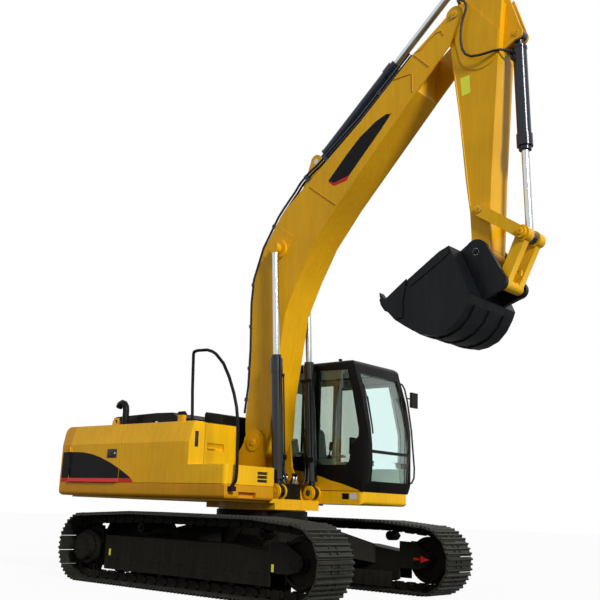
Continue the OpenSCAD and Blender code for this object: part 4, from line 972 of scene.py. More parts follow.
@dataclass
class CadFinishes:
    """The finish of each node, with its rounded edges' width in mm, or 0 where the node itself is shown."""

    looks: dict[Finish, dict[str, int]] = field(default_factory=lambda: {
        Finish.FRAME: {"idlers": 4, "sprockets": 3, "rollers": 4, "side_frames": 4, "car_body": 6,
                       "slew_ring": 3},
        Finish.YELLOW: {"upper_frame": 4, "body_panels": 3, "door_right": 3, "door_left": 3, "fuel_tank": 4,
                        "boom": 3, "arm": 3},
        Finish.PIN: {"foot_pins": 0, "boom_pins": 0, "arm_pins": 0, "bucket_pin": 0},
        # The tail and the skirts take the yellow with painted shade.
        Finish.DEEP: {"counterweight": 6, "skirts": 3},
        Finish.BLACK: {"engine_hood": 6, "filler_cap": 2, "valve_cover": 8, "handrail": 2, "exhaust": 2,
                       "cab_shell": 4, "cab_door": 3, "side_mirror": 1, "cylinder_pipes": 1},
        Finish.BRIGHT: {"step_box": 4, "box_door": 3, "box_frame": 3, "cab_base": 3, "guide_links": 3,
                        "bucket_link": 3},
        Finish.PLASTIC: {"tread_strips": 0},
        Finish.ENGINE: {"engine": 0},
        Finish.GLASS: {"cab_glass": 0, "door_glass": 0},
        Finish.BLUE_BLACK: {"boom_pipes": 1, "arm_barrel": 2, "bucket_barrel": 2},
        Finish.BARREL: {"boom_barrels": 2},
        Finish.CHROME: {"boom_rods": 1, "arm_rod": 1, "bucket_rod": 1},
        Finish.BUCKET: {"bucket": 3, "bucket_teeth": 3},
    })
    eyes: dict[str, tuple[float, float, float, Finish]] = field(default_factory=lambda: {
        "boom_rods": (0.336, 4.450, 0.155, Finish.YELLOW),
        "arm_rod": (3.303, 7.871, 0.190, Finish.BLUE_BLACK),
        "bucket_rod": (3.905, 4.064, 0.165, Finish.BLUE_BLACK),
    })
    round_ones: tuple[str, ...] = ("handrail", "exhaust", "side_mirror", "boom_pipes", "cylinder_pipes")
    creased: tuple[str, ...] = (
        "counterweight", "body_panels", "door_right", "door_left", "fuel_tank", "box_frame",
    )
    crease_z: float = 1.770
    crease_depth: float = 0.040
    hinge_top: float = 1.67
    cab_y: tuple[float, float] = (0.470, 1.405)
    cab_rear: float = -0.475
    roof_z: float = 2.80
    near: float = 0.003

    def crease(self, piece: bpy.types.Object) -> None:
        """Keeps the fold along the house's sides sharp.

        Args:
            piece: The piece that has the fold.
        """
        spots = [v.co for v in piece.data.vertices]
        on_fold = [abs(p.z - self.crease_z) < 0.001 and abs(p.y) > SIDE_Y - self.crease_depth for p in spots]
        for edge in piece.data.edges:
            if all(on_fold[i] for i in edge.vertices):
                edge.use_edge_sharp = True

    def lined(self, face: bpy.types.MeshPolygon) -> bool:
        """Tells whether a face is on the inside of the cab's walls.

        Args:
            face: The face.

        Returns:
            Whether it is.
        """
        n, c = face.normal, face.center
        x = c.x - SWING_X
        right_y, left_y = self.cab_y
        return (
            (n.y < -0.9 and abs(c.y - left_y) < self.near)
            or (n.y > 0.9 and abs(c.y - right_y) < self.near)
            or (n.x > 0.9 and abs(x - self.cab_rear) < self.near) or (n.z < -0.5 and c.z > self.roof_z)
            or (n.x < -0.5 and x > 1.0 and 0.48 < c.y < 1.40)
        )

    def details(self, piece: bpy.types.Object, name: str) -> None:
        """Gives the arcs' hinges their black, the cab's inside its trim and the rods' eyes their paint.

        Args:
            piece: The piece.
            name: The node that it stands for.
        """
        if name in self.creased:
            self.crease(piece)
        if name in ("door_right", "door_left", "body_panels"):
            FINISHER.repaint(
                piece, Finish.DECAL_BLACK,
                lambda face: abs(face.center.y) > SIDE_Y + 0.0005 and face.center.z < self.hinge_top,
            )
        if name in ("cab_shell", "cab_door"):
            FINISHER.repaint(piece, Finish.TRIM, self.lined)
        if name in self.eyes:
            x, z, reach, finish = self.eyes[name]
            FINISHER.repaint(
                piece, finish,
                lambda face: math.hypot(face.center.x - SWING_X - x, face.center.z - z) < reach,
            )

    def rounded_copy(self, node: bpy.types.Object, width: float, finish: Finish) -> None:
        """Shows a copy of a node with joined faces and rounded edges of a width in its place.

        Args:
            node: The node.
            width: The width of its rounded edges.
            finish: Its finish.
        """
        shape = Shape(node.data)
        bmesh.ops.dissolve_limit(
            shape.bm, angle_limit=math.radians(0.6), verts=shape.bm.verts[:], edges=shape.bm.edges[:],
        )
        angle = 50.0 if node.name in self.round_ones else 28.0
        piece = shape.piece(f"{node.name}_shown", node["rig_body"], finish, angle)
        self.details(piece, node.name)
        bevel = piece.modifiers.new("rounded edges", "BEVEL")
        bevel.width, bevel.segments, bevel.limit_method = width, 2, "ANGLE"
        bevel.angle_limit, bevel.use_clamp_overlap = math.radians(angle), True
        bevel.harden_normals = False
        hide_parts(node.name)

    def shade_right_panes(self, node: bpy.types.Object) -> None:
        """Gives the panes of the cab's right side a darker glass, on a copy: painted shade standing in for
        the grey reflection on that side.

        Args:
            node: The glass.
        """
        piece = Shape(node.data).piece("cab_glass_shown", node["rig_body"], Finish.GLASS, 28.0)
        FINISHER.repaint(piece, Finish.SHADED, lambda face: face.center.y < self.cab_y[0] + 0.010)
        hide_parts("cab_glass")

    def build(self, nodes: dict[str, bpy.types.Object]) -> None:
        """Finishes every node of the frame.

        Args:
            nodes: The nodes by name.
        """
        for finish, widths in self.looks.items():
            for name, width in widths.items():
                if width:
                    self.rounded_copy(nodes[name], width / 1000, finish)
                else:
                    FINISHER.dress(nodes[name], finish)
        self.shade_right_panes(nodes["cab_glass"])


class Skin:
    """The faces of one node, on which films, seams and bolts are laid."""

    step: float = 0.03
    lift: float = 0.0007

    def __init__(self, node: bpy.types.Object) -> None:
        """Reads the node's faces.

        Args:
            node: The node.
        """
        self.body = node["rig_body"]
        spots = [node.matrix_world @ v.co for v in node.data.vertices]
        self.tree = BVHTree.FromPolygons(spots, [list(p.vertices) for p in node.data.polygons])

    def under(self, spot: Point, way: Point, lift: float = 0.0) -> Vector:
        """Returns the place on the skin that is met from a spot near it.

        Args:
            spot: The spot.
            way: The direction looked in.
            lift: How far the place is raised.

        Returns:
            The place.
        """
        spot, way = Vector(spot), Vector(way).normalized()
        found = self.tree.ray_cast(spot - way * 0.25, way, 0.6)[0]
        return (found or spot) - way * lift

    def film(self, name: str, outline: Sequence[Point], way: Point, finish: Finish,
             span: tuple[float, float] | None = None) -> None:
        """Lays a thin film that follows the skin.

        Args:
            name: The film's name.
            outline: Its corners, near the skin.
            way: The direction from the film to the skin.
            finish: Its finish.
            span: The least and most X that it is cut to, from the swing axis.
        """
        shape = Shape()
        bm = shape.bm
        bm.faces.new([bm.verts.new(p) for p in outline])
        low, high = min(p[0] for p in outline), max(p[0] for p in outline)
        if span:
            low, high = span[0] + SWING_X, span[1] + SWING_X
            for x, inner in ((low, True), (high, False)):
                self.cut(bm, x, clear_inner=inner, clear_outer=not inner)
        steps = max(1, round((high - low) / self.step))
        for i in range(1, steps):
            self.cut(bm, low + (high - low) * i / steps)
        for vert in bm.verts:
            vert.co = self.under(vert.co, way, self.lift)
        bm.normal_update()
        for face in bm.faces:
            if face.normal.dot(Vector(way)) > 0:
                face.normal_flip()
        shape.piece(name, self.body, finish, 60.0)

    def cut(self, bm: bmesh.types.BMesh, x: float, **cleared: bool) -> None:
        """Cuts a film across at x."""
        geom = [*bm.verts, *bm.edges, *bm.faces]
        bmesh.ops.bisect_plane(bm, geom=geom, plane_co=(x, 0, 0), plane_no=(1, 0, 0), **cleared)

    def seam(self, name: str, line: Sequence[Point], way: Point, radius: float, finish: Finish) -> None:
        """Lays a weld or a bead along a line on the skin.

        Args:
            name: Its name.
            line: Points near the skin.
            way: The direction from them to the skin.
            radius: Its radius.
            finish: Its finish.
        """
        spots: list[Vector] = []
        for a, b in zip(line, line[1:]):
            count = max(1, round((b - a).length / 0.04))
            spots += [a + (b - a) * i / count for i in range(count)]
        spots.append(line[-1])
        strand(name, [self.under(p, way, radius * 0.2) for p in spots], radius, self.body, finish, 2)


@dataclass
class Marks:
    """The plain stripes, patches and plates on the paint, as outlines seen from the side."""

    skins: dict[str, Skin]
    arc: Outline = (
        (-2.600, 1.668), (-2.440, 1.673), (-2.143, 1.664), (-1.933, 1.637), (-1.747, 1.593), (-1.514, 1.519),
        (-1.309, 1.435), (-1.133, 1.354), (-1.068, 1.3155),
    )
    arc_low: Point = (-2.600, 1.3155)
    arc_foot: Outline = (
        (-2.600, 1.266), (-2.600, 1.3145), (-1.067, 1.3145), (-1.034, 1.292), (-1.022, 1.266),
    )
    badge: Outline = (
        (1.154, 5.272), (1.250, 5.224), (1.508, 5.276), (1.750, 5.526), (1.998, 5.780), (2.130, 5.926),
        (2.130, 5.971), (2.084, 5.979), (1.925, 5.926), (1.661, 5.763), (1.437, 5.559),
    )
    badge_foot: Outline = (
        (1.154, 5.272), (1.167, 5.251), (1.251, 5.179), (1.468, 5.209), (1.508, 5.2755), (1.250, 5.2235),
    )
    badge_tip: Outline = ((2.1305, 5.9265), (2.170, 5.968), (2.1305, 5.971))
    patch: Outline = ((3.141, 6.170), (3.269, 6.175), (3.280, 5.942), (3.164, 5.926))
    welds: tuple[Outline, ...] = (
        ((2.172, 6.426), (2.472, 6.428), (2.483, 6.170)),
        ((2.505, 6.706), (2.603, 6.715), (2.706, 6.799), (2.828, 6.870), (2.911, 6.873), (2.931, 6.804)),
        ((2.479, 6.700), (2.728, 6.442)),
        ((0.838, 5.257), (1.298, 4.905)),
    )
    arm_edge: Outline = ((3.010, 6.660), (3.069, 6.221), (3.144, 5.608), (3.226, 4.832), (3.262, 4.500))
    arrow: Outline = (
        (1.656, 0.425), (1.800, 0.425), (1.800, 0.395), (1.910, 0.440), (1.800, 0.485), (1.800, 0.455),
        (1.656, 0.455),
    )
    sweep: Outline = (
        (0.140, 1.258), (1.272, 1.258), (1.272, 1.266), (1.140, 1.302), (1.007, 1.342), (0.793, 1.389),
        (0.612, 1.443), (0.420, 1.488), (0.140, 1.530),
    )
    frame_marks: Outline = ((-1.341, 0.383), (1.486, 0.370))
    plates: tuple[tuple[str, float, Finish], ...] = (
        ("plate_dark", 1.000, Finish.DECAL_BLACK), ("plate_pale", 1.126, Finish.DECAL_WHITE),
    )

    def on_both_sides(self) -> None:
        """Lays the arcs on the tail, and the badges, welds and edges on the boom and the arm; the arm's
        edges are a real lip in the lighter yellow as a painted highlight.
        """
        arcs = (
            ("black", (self.arc_low, *self.arc), Finish.DECAL_BLACK),
            ("red", self.arc_foot, Finish.DECAL_RED),
        )
        badges = (
            ("badge", self.badge, Finish.DECAL_BLACK), ("badge_foot", self.badge_foot, Finish.DECAL_RED),
            ("badge_tip", self.badge_tip, Finish.DECAL_RED),
        )
        for s, side in SIDES:
            way = (0, -s, 0)
            parts = (("counterweight", -2.598, -2.4355), (f"door_{side}", -2.4195, -1.3305),
                     ("body_panels", -1.3215, -1.022))
            for node, low, high in parts:
                for shade, outline, finish in arcs:
                    name = f"arc_{shade}_{side}_{node}"
                    self.skins[node].film(name, drawn(outline, s * 1.40), way, finish, (low, high))
            for name, outline, finish in badges:
                self.skins["boom"].film(f"{name}_{side}", drawn(outline, s * 0.25), way, finish)
            for i, line in enumerate(self.welds):
                name, line = f"boom_weld_{i + 1}_{side}", drawn(line, s * 0.235)
                # The welds take the yellow with painted shade, so they read darker than the plates.
                self.skins["boom"].seam(name, line, way, 0.007, Finish.DEEP)
            # A bead along the arm's rear edge: a real lip, in the lighter yellow as a painted highlight.
            edge = drawn(self.arm_edge, s * 0.21)
            self.skins["arm"].seam(f"arm_edge_{side}", edge, way, 0.008, Finish.BRIGHT)

    def on_one_side(self) -> None:
        """Lays the small marks on the arm, the track frames and the cab, all seen from the right."""
        way, frames = (0, 1, 0), self.skins["side_frames"]
        self.skins["arm"].film("arm_patch", drawn(self.patch, -0.21), way, Finish.DECAL_LIME)
        for i, (x, z) in enumerate(self.frame_marks):
            corners = boxed(x - 0.018, z - 0.040, x + 0.018, z + 0.040)
            frames.film(f"frame_mark_{i + 1}", drawn(corners, -1.45), way, Finish.DECAL_LIME)
        frames.film("frame_arrow", drawn(self.arrow, 1.05), way, Finish.DECAL_RED)
        for name, x, finish in self.plates:
            corners = boxed(x, 1.150, x + 0.110, 1.226)
            self.skins["cab_base"].film(name, drawn(corners, 0.40), way, finish)
        self.skins["cab_shell"].film("cab_sweep", drawn(self.sweep, 0.40), way, Finish.YELLOW)

    def build(self) -> None:
        """Lays every film and seam."""
        self.on_both_sides()
        self.on_one_side()


@dataclass
class Fasteners:
    """Bolts, plates and guards on the pins, hubs and track frames."""

    skins: dict[str, Skin]
    pins: tuple[tuple[str, float, float, float], ...] = (
        ("foot_pins", 0.050, 1.840, 0.046), ("foot_pins", 0.565, 1.213, 0.036),
        ("boom_pins", 3.090, 7.030, 0.046), ("arm_pins", 3.398, 4.416, 0.036),
        ("guide_links", 3.905, 4.064, 0.036), ("bucket_pin", 3.370, 3.915, 0.036),
        ("arm_pins", 3.832, 6.591, 0.044),
    )
    plate_angle: float = 35.0
    ring_radius: float = 0.580
    ring_bolts: int = 36
    ring_low: float = 0.860
    hub: tuple[float, float] = (-1.830, 0.430)
    idler: tuple[float, float] = (1.830, 0.430)
    rollers: int = 7
    roller_x: float = -1.230
    roller_step: float = 0.410
    bracket_z: float = 0.318
    beyond: float = 1.60
    track_side: float = 1.55
    guard: Outline = (
        (-2.020, 0.330), (-2.020, 0.610), (-1.900, 0.790), (-0.640, 0.790), (-0.500, 0.640), (-0.500, 0.480),
        (-1.500, 0.330),
    )
    guard_y: float = 0.965
    guard_bolts: tuple[float, ...] = (-1.840, -1.400, -1.000)

    def keepers(self) -> None:
        """Puts a keeper plate with two bolts on each end of each long pin."""
        turn = math.radians(self.plate_angle)
        along = Vector((math.cos(turn), 0, math.sin(turn)))
        for i, (node, x, z, reach) in enumerate(self.pins):
            start = 0.25 if node == "arm_pins" else 0.45
            finish = Finish.BUCKET if node == "bucket_pin" else Finish.YELLOW
            for s, side in SIDES:
                out = Vector((0, s, 0))
                face = self.skins[node].under(at(x, s * start, z), -out)
                shape = Shape().bar(face - out * 0.002, face + out * 0.006, reach, 28, bevel=0.0015)
                shape.bar(face + out * 0.005, face + out * 0.014, reach * 0.30, 16, bevel=0.002)
                for way in (-1, 1):
                    shape.bolt(face + out * 0.006 + way * reach * 0.60 * along, out, 0.012)
                shape.piece(f"pin_plate_{i + 1}_{side}", self.skins[node].body, finish)

    def ring(self) -> None:
        """Bolts the slew ring down round the car body."""
        shape = Shape()
        for i in range(self.ring_bolts):
            a = 2 * math.pi * (i + 0.5) / self.ring_bolts
            spot = at(self.ring_radius * math.cos(a), self.ring_radius * math.sin(a), self.ring_low)
            shape.bolt(spot, (0, 0, -1), 0.013, 0.016, False)
        shape.piece("slew_ring_bolts", "undercarriage", Finish.FRAME)

    def hubs(self) -> None:
        """Bolts the drives' hubs, the idlers' caps and the rollers' brackets."""
        spots = []
        for node, (x, z), reach, count, size in (
            ("sprockets", self.hub, 0.135, 12, 0.012), ("sprockets", self.hub, 0.192, 18, 0.012),
            ("idlers", self.idler, 0.052, 4, 0.010),
        ):
            turns = (2 * math.pi * (i + 0.5) / count for i in range(count))
            spots += [(node, x + reach * math.cos(a), z + reach * math.sin(a), size) for a in turns]
        spots += [
            ("side_frames", self.roller_x + i * self.roller_step + dx, self.bracket_z, 0.013)
            for i in range(self.rollers) for dx in (-0.055, 0.055)
        ]
        shape = Shape()
        for s, _ in SIDES:
            out = Vector((0, s, 0))
            for node, x, z, size in spots:
                spot = self.skins[node].under(at(x, s * self.beyond, z), -out)
                if abs(spot.y) < self.track_side:
                    shape.bolt(spot, out, size)
        shape.piece("track_frame_bolts", "undercarriage", Finish.FRAME)

    def guards(self) -> None:
        """Bolts a plate before each drive's inner side and a rail beside each row of rollers: partly real
        guards and partly dark sheets, painted shade that closes the gaps where the floor would show.
        """
        for s, side in SIDES:
            shape = Shape().slab(drawn(self.guard, s * self.guard_y), (0, s * 0.010, 0), 0.003)
            shape.blocks(((-1.400, s * 0.975, 0.078), (1.400, s * 0.990, 0.270), 0.003))
            for x in self.guard_bolts:
                shape.bolt(at(x, s * self.guard_y, 0.560), (0, -s, 0), 0.014)
            shape.piece(f"track_guard_{side}", "undercarriage", Finish.FRAME)

    def build(self) -> None:
        """Adds every fastener."""
        self.guards()
        self.keepers()
        self.ring()
        self.hubs()


@dataclass
class Panels:
    """Latches, slots and fittings of the house."""

    latch: tuple[float, float, float, float] = (-1.593, -1.399, 1.582, 1.698)
    side_lean: Outline = ((-1.377, 1.264), (-1.377, 1.770), (-1.3023, 2.028))
    slot_bars: int = 5
    vents: int = 3
    ports: Outline = ((-0.110, -0.215), (-0.050, -0.185), (0.090, 0.190), (0.145, 0.225))
    port_x: float = 0.450

    def latches(self) -> None:
        """Puts a paddle latch on each side door."""
        x0, x1, z0, z1 = self.latch
        rows = (
            (x0, z0, x1, z1, -0.002, 0.005, 0.002),
            (x0 + 0.018, z0 + 0.018, x1 - 0.060, z1 - 0.018, 0.004, 0.012, 0.003),
        )
        for s, side in SIDES:
            shape = Shape()
            for left, low, right, high, deep, proud, bevel in rows:
                y0, y1 = sorted((s * (SIDE_Y + deep), s * (SIDE_Y + proud)))
                shape.blocks(((left, y0, low), (right, y1, high), bevel))
            shape.piece(f"latch_{side}", f"{side}_door", Finish.PLASTIC)
            middle = (z0 + z1) / 2
            ends = (at(x1 - 0.030, s * (SIDE_Y + deep), middle) for deep in (0.003, 0.011))
            lock = Shape().bar(*ends, 0.013, 20, bevel=0.002)
            lock.piece(f"latch_lock_{side}", f"{side}_door", Finish.STEEL)

    def boxes(self) -> None:
        """Dresses the openings of the right box and the step with bars on black backing, which is painted
        shade for their dark insides, and adds the tail's strip and latch.
        """
        # Black backing in the box's slot: painted shade for its dark inside, with bars across it.
        slot = Shape().blocks(((-0.002, -1.282, 1.712), (0.004, -1.226, 1.905), 0.0015))
        for i in range(self.slot_bars):
            z = 1.730 + i * 0.034
            slot.blocks(((0.003, -1.272, z), (0.007, -1.236, z + 0.016), 0.001))
        slot.piece("box_slot", "house", Finish.PLASTIC)
        # Black blocks in the step's three slots: painted shade for their dark insides, with a thin bar
        # across each.
        vent = Shape()
        for i in range(self.vents):
            z = 1.3035 + i * 0.046
            vent.blocks(
                ((0.636, -0.8235, z), (0.640, -0.6435, z + 0.033), 0.0),
                ((0.640, -0.8235, z + 0.012), (0.652, -0.6435, z + 0.016), 0.0),
            )
        vent.piece("step_vent_painted_shade", "house", Finish.PLASTIC)
        inner = [(y + 0.003, z) for y, z in reversed(self.side_lean)]
        strip = Shape().slab([at(-0.7995, y, z) for y, z in (*self.side_lean, *inner)], (0.029, 0, 0))
        strip.piece("side_seam_strip", "house", Finish.YELLOW, 10.0)
        latch = Shape().blocks(((-0.870, -1.215, 2.028), (-0.815, -1.185, 2.044), 0.003))
        latch.bars(((-0.860, -1.200, 2.052), (-0.825, -1.200, 2.052), 0.009, 16, None, 0.002))
        latch.piece("tail_latch", "house", Finish.STEEL)

    def fittings(self) -> None:
        """Stands a port block with pipes between the boom cylinders' lugs."""
        block = Shape().blocks(
            ((0.395, -0.140, 1.119), (0.505, 0.172, 1.320), 0.006),
            ((0.380, -0.160, 1.119), (0.520, 0.180, 1.135), 0.003),
        )
        block.piece("port_block", "house", Finish.BLACK)
        caps, x = Shape(), self.port_x
        for i, (y, y1) in enumerate(self.ports):
            caps.bars(
                ((x, y, 1.319), (x, y, 1.355), 0.021, 6, None, 0.002),
                ((x, y, 1.354), (x, y, 1.415), 0.017, 16, None, 0.002),
            )
            line = [
                at(x, y, 1.410), at(0.448, y, 1.432), at(0.430, y + (y1 - y) * 0.2, 1.450),
                at(0.395, y + (y1 - y) * 0.5, 1.450), at(0.350, y1, 1.415), at(0.325, y1, 1.330),
                at(0.310, y1, 1.220), at(0.310, y1, 1.118),
            ]
            strand(f"port_pipe_{i + 1}", smooth_line(line, 4), 0.014, "house", Finish.BLACK)
        caps.piece("port_fittings", "house", Finish.STEEL)

    def build(self) -> None:
        """Adds every part of the house's outside."""
        self.latches()
        self.boxes()
        self.fittings()


@dataclass
class Cushion:
    """One cushion of the seat: a crowned closed form with sewn channels."""

    name: str
    middle: Point
    size: Point
    lean: float
    crown: float
    channels: tuple[float, ...]
    square: float = 6.0
    waist: float = 0.035
    channel_width: float = 0.045
    channel_depth: float = 0.010
    welt_points: int = 64

    def build(self) -> None:
        """Makes the cushion, and a welt round its widest line where it has channels."""
        spot = Matrix.Translation(at(*self.middle)) @ Matrix.Rotation(math.radians(self.lean), 4, "Y")
        length, width, height = (side / 2 for side in self.size)
        shape = Shape()
        bmesh.ops.create_cube(shape.bm, size=2.0)
        bmesh.ops.subdivide_edges(shape.bm, edges=shape.bm.edges[:], cuts=15, use_grid_fill=True)
        for vert in shape.bm.verts:
            u, v, w = vert.co
            shrink = (abs(u) ** self.square + abs(v) ** self.square + abs(w) ** 4) ** (-1 / 5.3)
            u, v, w = u * shrink, v * shrink, w * shrink
            dome = max(0.0, 1 - u * u) * max(0.0, 1 - v * v)
            dip = sum(math.exp(-(((u - c) / self.channel_width) ** 2)) for c in self.channels)
            vert.co = spot @ Vector((
                u * length * (1 - self.waist * (1 - v * v)), v * width * (1 - self.waist * (1 - u * u)),
                w * height + max(0.0, w) * (self.crown * dome - dip * self.channel_depth) - self.crown * 0.5,
            ))
        piece = shape.piece(self.name, "house", Finish.CLOTH, 80.0)
        smooth = piece.modifiers.new("smooth", "SUBSURF")
        smooth.levels = smooth.render_levels = 1
        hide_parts("cab_seat")
        if self.channels:
            line = []
            for i in range(self.welt_points + 1):
                a = 2 * math.pi * i / self.welt_points
                c, s = math.cos(a), math.sin(a)
                reach = 0.975 * (abs(c) ** self.square + abs(s) ** self.square) ** (-1 / self.square)
                line.append(spot @ Vector((c * reach * length, s * reach * width, 0.0)))
            strand(f"{self.name}_welt", line, 0.005, "house", Finish.PLASTIC, 2)


@dataclass
class Cab:
    """The cab's inside, and its wiper."""

    skins: dict[str, Skin]
    floor: float = 1.166
    seat_y: float = 0.940
    back_lean: float = -98.5
    lever_x: float = 0.600
    consoles: tuple[tuple[float, float], ...] = ((0.590, 0.695), (1.185, 1.290))
    travel_levers: tuple[float, float] = (0.860, 1.000)
    wiper_ends: tuple[Point, Point] = ((1.330, 0.530, 2.648), (1.400, 0.548, 1.991))
    mat_ribs: int = 14
    wiper_steps: int = 12

    def seat(self) -> None:
        """Builds the seat on its suspension."""
        y, lean = self.seat_y, self.back_lean
        for cushion in (
            Cushion("seat_cushion", (0.370, y, 1.530), (0.490, 0.470, 0.115), 0.0, 0.018, (-0.35, 0.30)),
            Cushion("seat_back", (0.085, y, 1.860), (0.560, 0.450, 0.110), lean, 0.016, (-0.45, 0.05, 0.50)),
            Cushion("seat_headrest", (0.030, y, 2.215), (0.150, 0.300, 0.095), lean, 0.012, ()),
        ):
            cushion.build()
        frame = Shape().blocks(((0.140, 0.740, 1.440), (0.600, 1.140, 1.474), 0.010))
        for i in range(4):
            grow, low = 0.012 * (i % 2), 1.240 + i * 0.050
            high = low + 0.052
            frame.blocks(((0.215 - grow, 0.790 - grow, low), (0.525 + grow, 1.090 + grow, high), 0.014))
        frame.blocks(((0.200, 0.780, self.floor), (0.540, 1.100, 1.242), 0.008))
        frame.bars(*(((0.050, y, 2.080), (0.034, y, 2.200), 0.007, 12) for y in (0.870, 1.010)))
        frame.piece("seat_frame", "house", Finish.PLASTIC)

    def controls(self) -> None:
        """Adds the consoles with their levers, the travel levers and the screen."""
        consoles, grips, x = Shape(), Shape(), self.lever_x
        for y0, y1 in self.consoles:
            y = (y0 + y1) / 2
            consoles.blocks(
                ((0.130, y0, 1.560), (0.680, y1, 1.680), 0.018),
                ((0.180, y0 + 0.015, self.floor), (0.420, y1 - 0.015, 1.565), 0.010),
                ((0.060, y0 + 0.010, 1.740), (0.400, y1 - 0.010, 1.775), 0.014),
                ((0.120, y0 + 0.030, 1.670), (0.170, y1 - 0.030, 1.745), 0.006),
            )
            for i in range(4):
                z = i * 0.014
                grips.bars(((x, y, 1.678 + z), (x, y, 1.694 + z), 0.042 - 0.007 * i, 20, None, 0.003))
            grips.bars(
                ((x, y, 1.730), (0.612, y, 1.800), 0.009, 12),
                ((0.611, y, 1.795), (0.630, y, 1.905), 0.021, 18, 0.026, 0.006),
            )
        for y in self.travel_levers:
            grips.blocks(((0.900, y - 0.040, 1.190), (1.080, y + 0.040, 1.205), 0.004))
            grips.bars(
                ((0.980, y, 1.200), (0.960, y, 1.640), 0.010, 12),
                ((0.962, y, 1.600), (0.955, y, 1.720), 0.017, 16, 0.020, 0.005),
            )
        consoles.piece("consoles", "house", Finish.TRIM)
        grips.piece("levers", "house", Finish.PLASTIC)
        screen = Shape().blocks(((1.020, 0.520, 1.730), (1.060, 0.690, 1.950), 0.010))
        screen.bars(((1.045, 0.600, 1.300), (1.040, 0.600, 1.740), 0.014, 14))
        screen.blocks(((1.000, 0.560, self.floor), (1.090, 0.640, 1.310), 0.010))
        screen.piece("screen", "house", Finish.PLASTIC)

    def lining(self) -> None:
        """Lines the cab's rear wall, pillars, roof and floor."""
        trim = Shape().blocks(
            ((-0.4705, 0.520, self.floor), (-0.380, 1.380, 1.690), 0.012),
            ((-0.380, 0.560, self.floor), (-0.120, 1.340, 1.560), 0.020),
            ((0.050, 1.378, 1.700), (0.112, 1.4035, 2.800), 0.006),
            ((0.500, 0.4715, 1.600), (0.552, 0.490, 2.830), 0.006),
            ((-0.390, 0.4715, 1.400), (1.000, 0.486, 1.585), 0.005),
            ((-0.300, 0.560, 2.885), (0.850, 1.330, 2.925), 0.012),
        )
        trim.piece("cab_lining", "house", Finish.TRIM)
        mat = Shape().blocks(((-0.100, 0.490, 1.1655), (1.130, 1.385, 1.1700), 0.001))
        for i in range(self.mat_ribs):
            x = 0.650 + i * 0.033
            mat.blocks(((x, 0.600, 1.1695), (x + 0.014, 1.280, 1.1735), 0.0))
        mat.piece("floor_mat", "house", Finish.RUBBER)

    def wiper(self) -> None:
        """Lays the wiper against the windshield's right edge."""
        top, foot = (at(*end) for end in self.wiper_ends)
        ahead = Vector((0.10, 0, 0))
        spots = []
        for i in range(self.wiper_steps + 1):
            spot = top + (foot - top) * i / self.wiper_steps
            spots.append(self.skins["cab_glass"].under(spot + ahead, -ahead, 0.014))
        strand("wiper_blade", spots, 0.007, "house", Finish.RUBBER, 2)
        arm = [p + Vector((0.008, 0.012 * (1 - k / 9), 0)) for k, p in enumerate(spots[3:])]
        strand("wiper_arm", arm, 0.006, "house", Finish.BLACK, 2)

    def build(self) -> None:
        """Builds the cab's inside."""
        self.seat()
        self.controls()
        self.lining()
        self.wiper()


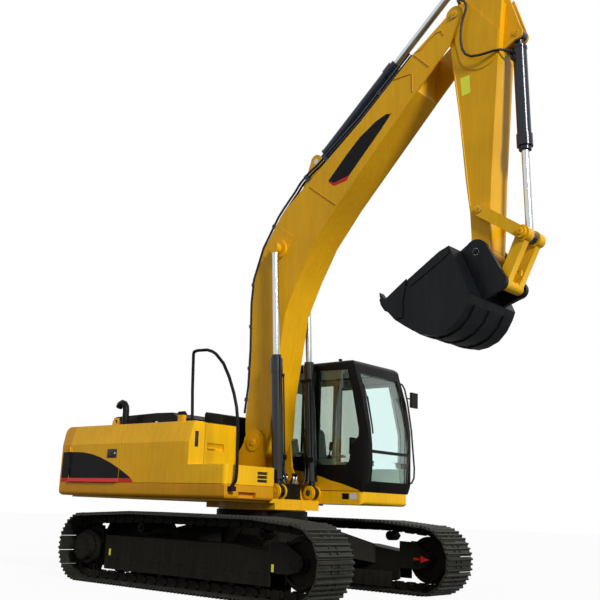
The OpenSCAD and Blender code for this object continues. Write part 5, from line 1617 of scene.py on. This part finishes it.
@dataclass
class Tracks:
    """Both tracks: shoes with three bars each, bolted to a chain of links and pins."""

    gauge: float = 2.500
    shoe_width: float = 0.600
    pitch: float = 0.1885
    idler_x: float = 1.830
    loop_radius: float = 0.430
    bar_height: float = 0.026
    plate: float = 0.012
    shoes: int = 52
    top_rise: float = 0.048
    carriers: tuple[float, float] = (-0.850, 1.230)
    chain_height: float = 0.098

    def turn(self, x: float, start: float) -> list[Vector]:
        """Returns the half circle of the loop round an idler or a sprocket, from a start in degrees.

        Args:
            x: The middle of the circle.
            start: Where it starts, in degrees.

        Returns:
            Its points in (x, z).
        """
        r = self.loop_radius - self.bar_height
        angles = (math.radians(start + 3 * i) for i in range(1, 60))
        return [Vector((x + r * math.cos(a), self.loop_radius + r * math.sin(a))) for a in angles]

    def corners(self) -> list[Vector]:
        """Returns the line of the shoes' outer faces, as many short stretches in (x, z).

        Returns:
            The points.
        """
        r = self.loop_radius - self.bar_height
        low, high = self.loop_radius - r, self.loop_radius + r
        rear, front = -self.idler_x, self.idler_x
        return [
            Vector((rear, low)), Vector((front, low)), *self.turn(front, -90), Vector((front, high)),
            Vector((self.carriers[1], high + self.top_rise)),
            Vector((self.carriers[0], high + self.top_rise)),
            Vector((rear, high)), *self.turn(rear, 90),
        ]

    def places(self) -> list[tuple[Vector, Vector]]:
        """Returns evenly spaced places on the loop, one for each shoe, with the direction of travel there.

        Returns:
            Each place with its direction.
        """
        line = self.corners()
        ends = [*line[1:], line[0]]
        total = sum((b - a).length for a, b in zip(line, ends))
        found = []
        for i in range(self.shoes):
            left = (i + 0.5) * total / self.shoes
            for a, b in zip(line, ends):
                step = (b - a).length
                if left <= step:
                    found.append((a + (b - a) * left / step, (b - a).normalized()))
                    break
                left -= step
        return found

    def matrices(self, side: int) -> list[Matrix]:
        """Returns where each shoe of a side lies: local X along the loop, Y to the left, Z outwards.

        Args:
            side: 1 for the left and -1 for the right.

        Returns:
            The places.
        """
        spots = []
        for p, way in self.places():
            out = Vector((way.y, -way.x))
            turn = Matrix(((way.x, 0.0, out.x), (0.0, 1.0, 0.0), (way.y, 0.0, out.y))).to_4x4()
            spots.append(Matrix.Translation(at(p.x, side * self.gauge / 2, p.y)) @ turn)
        return spots

    def shoe(self) -> Shape:
        """Returns one shoe, lying on its loop's line.

        Returns:
            The shoe.
        """
        half, rear, front = self.shoe_width / 2, -self.pitch / 2 + 0.003, self.pitch / 2 - 0.004
        profile = [(rear, -self.plate), (front, -self.plate), (front, -0.002)]
        for k in (1, 0, -1):
            x, top = k * self.pitch / 3, self.bar_height
            profile += [(x + 0.019, 0.0), (x + 0.008, top), (x - 0.008, top), (x - 0.019, 0.0)]
        profile += [(rear, -0.002)]
        shape = Shape().slab([(x, -half, z) for x, z in profile], (0.0, 2 * half, 0.0))
        for x in (-0.031, 0.031):
            for y in (-0.060, 0.060):
                shape.bar((x, y, 0.0), (x, y, 0.015), 0.015, 6)
        return shape

    def link(self) -> Shape:
        """Returns one link of the chain, below its shoe.

        Returns:
            The link.
        """
        low, high = -self.plate - self.chain_height, -self.plate - 0.001
        half = [(0.080, low + 0.020), (0.085, -0.030), (0.060, high)]
        outline = [
            (-0.085, -0.030), (-0.080, low + 0.020), (-0.060, low), (0.060, low), *half, (-0.060, high),
        ]
        shape = Shape()
        for y in (-0.078, 0.050):
            shape.slab([(x, y, z) for x, z in outline], (0.0, 0.028, 0.0))
        return shape.bar((0.094, -0.090, low + 0.045), (0.094, 0.090, low + 0.045), 0.030, 12)

    def build(self) -> None:
        """Builds both tracks."""
        for s, side in SIDES:
            spots = self.matrices(s)
            parts = (("shoes", self.shoe(), Finish.TRACK), ("chain", self.link(), Finish.FRAME))
            for part, shape, finish in parts:
                name = f"track_{side}_{part}"
                piece = Shape().stamp(shape, spots).piece(name, "undercarriage", finish, 30.0)
                if part == "shoes":
                    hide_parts(f"track_{side}")


def main() -> None:
    """Builds the machine's looks in order."""
    logging.basicConfig(level=logging.INFO, format="%(name)s %(message)s")
    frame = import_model()
    Studio().build()
    Hoses().build()
    CadFinishes().build(frame["nodes"])
    Tracks().build()
    skins = {name: Skin(node) for name, node in frame["nodes"].items()}
    Marks(skins).build()
    Fasteners(skins).build()
    Panels().build()
    Cab(skins).build()


if __name__ == "__main__":
    main()
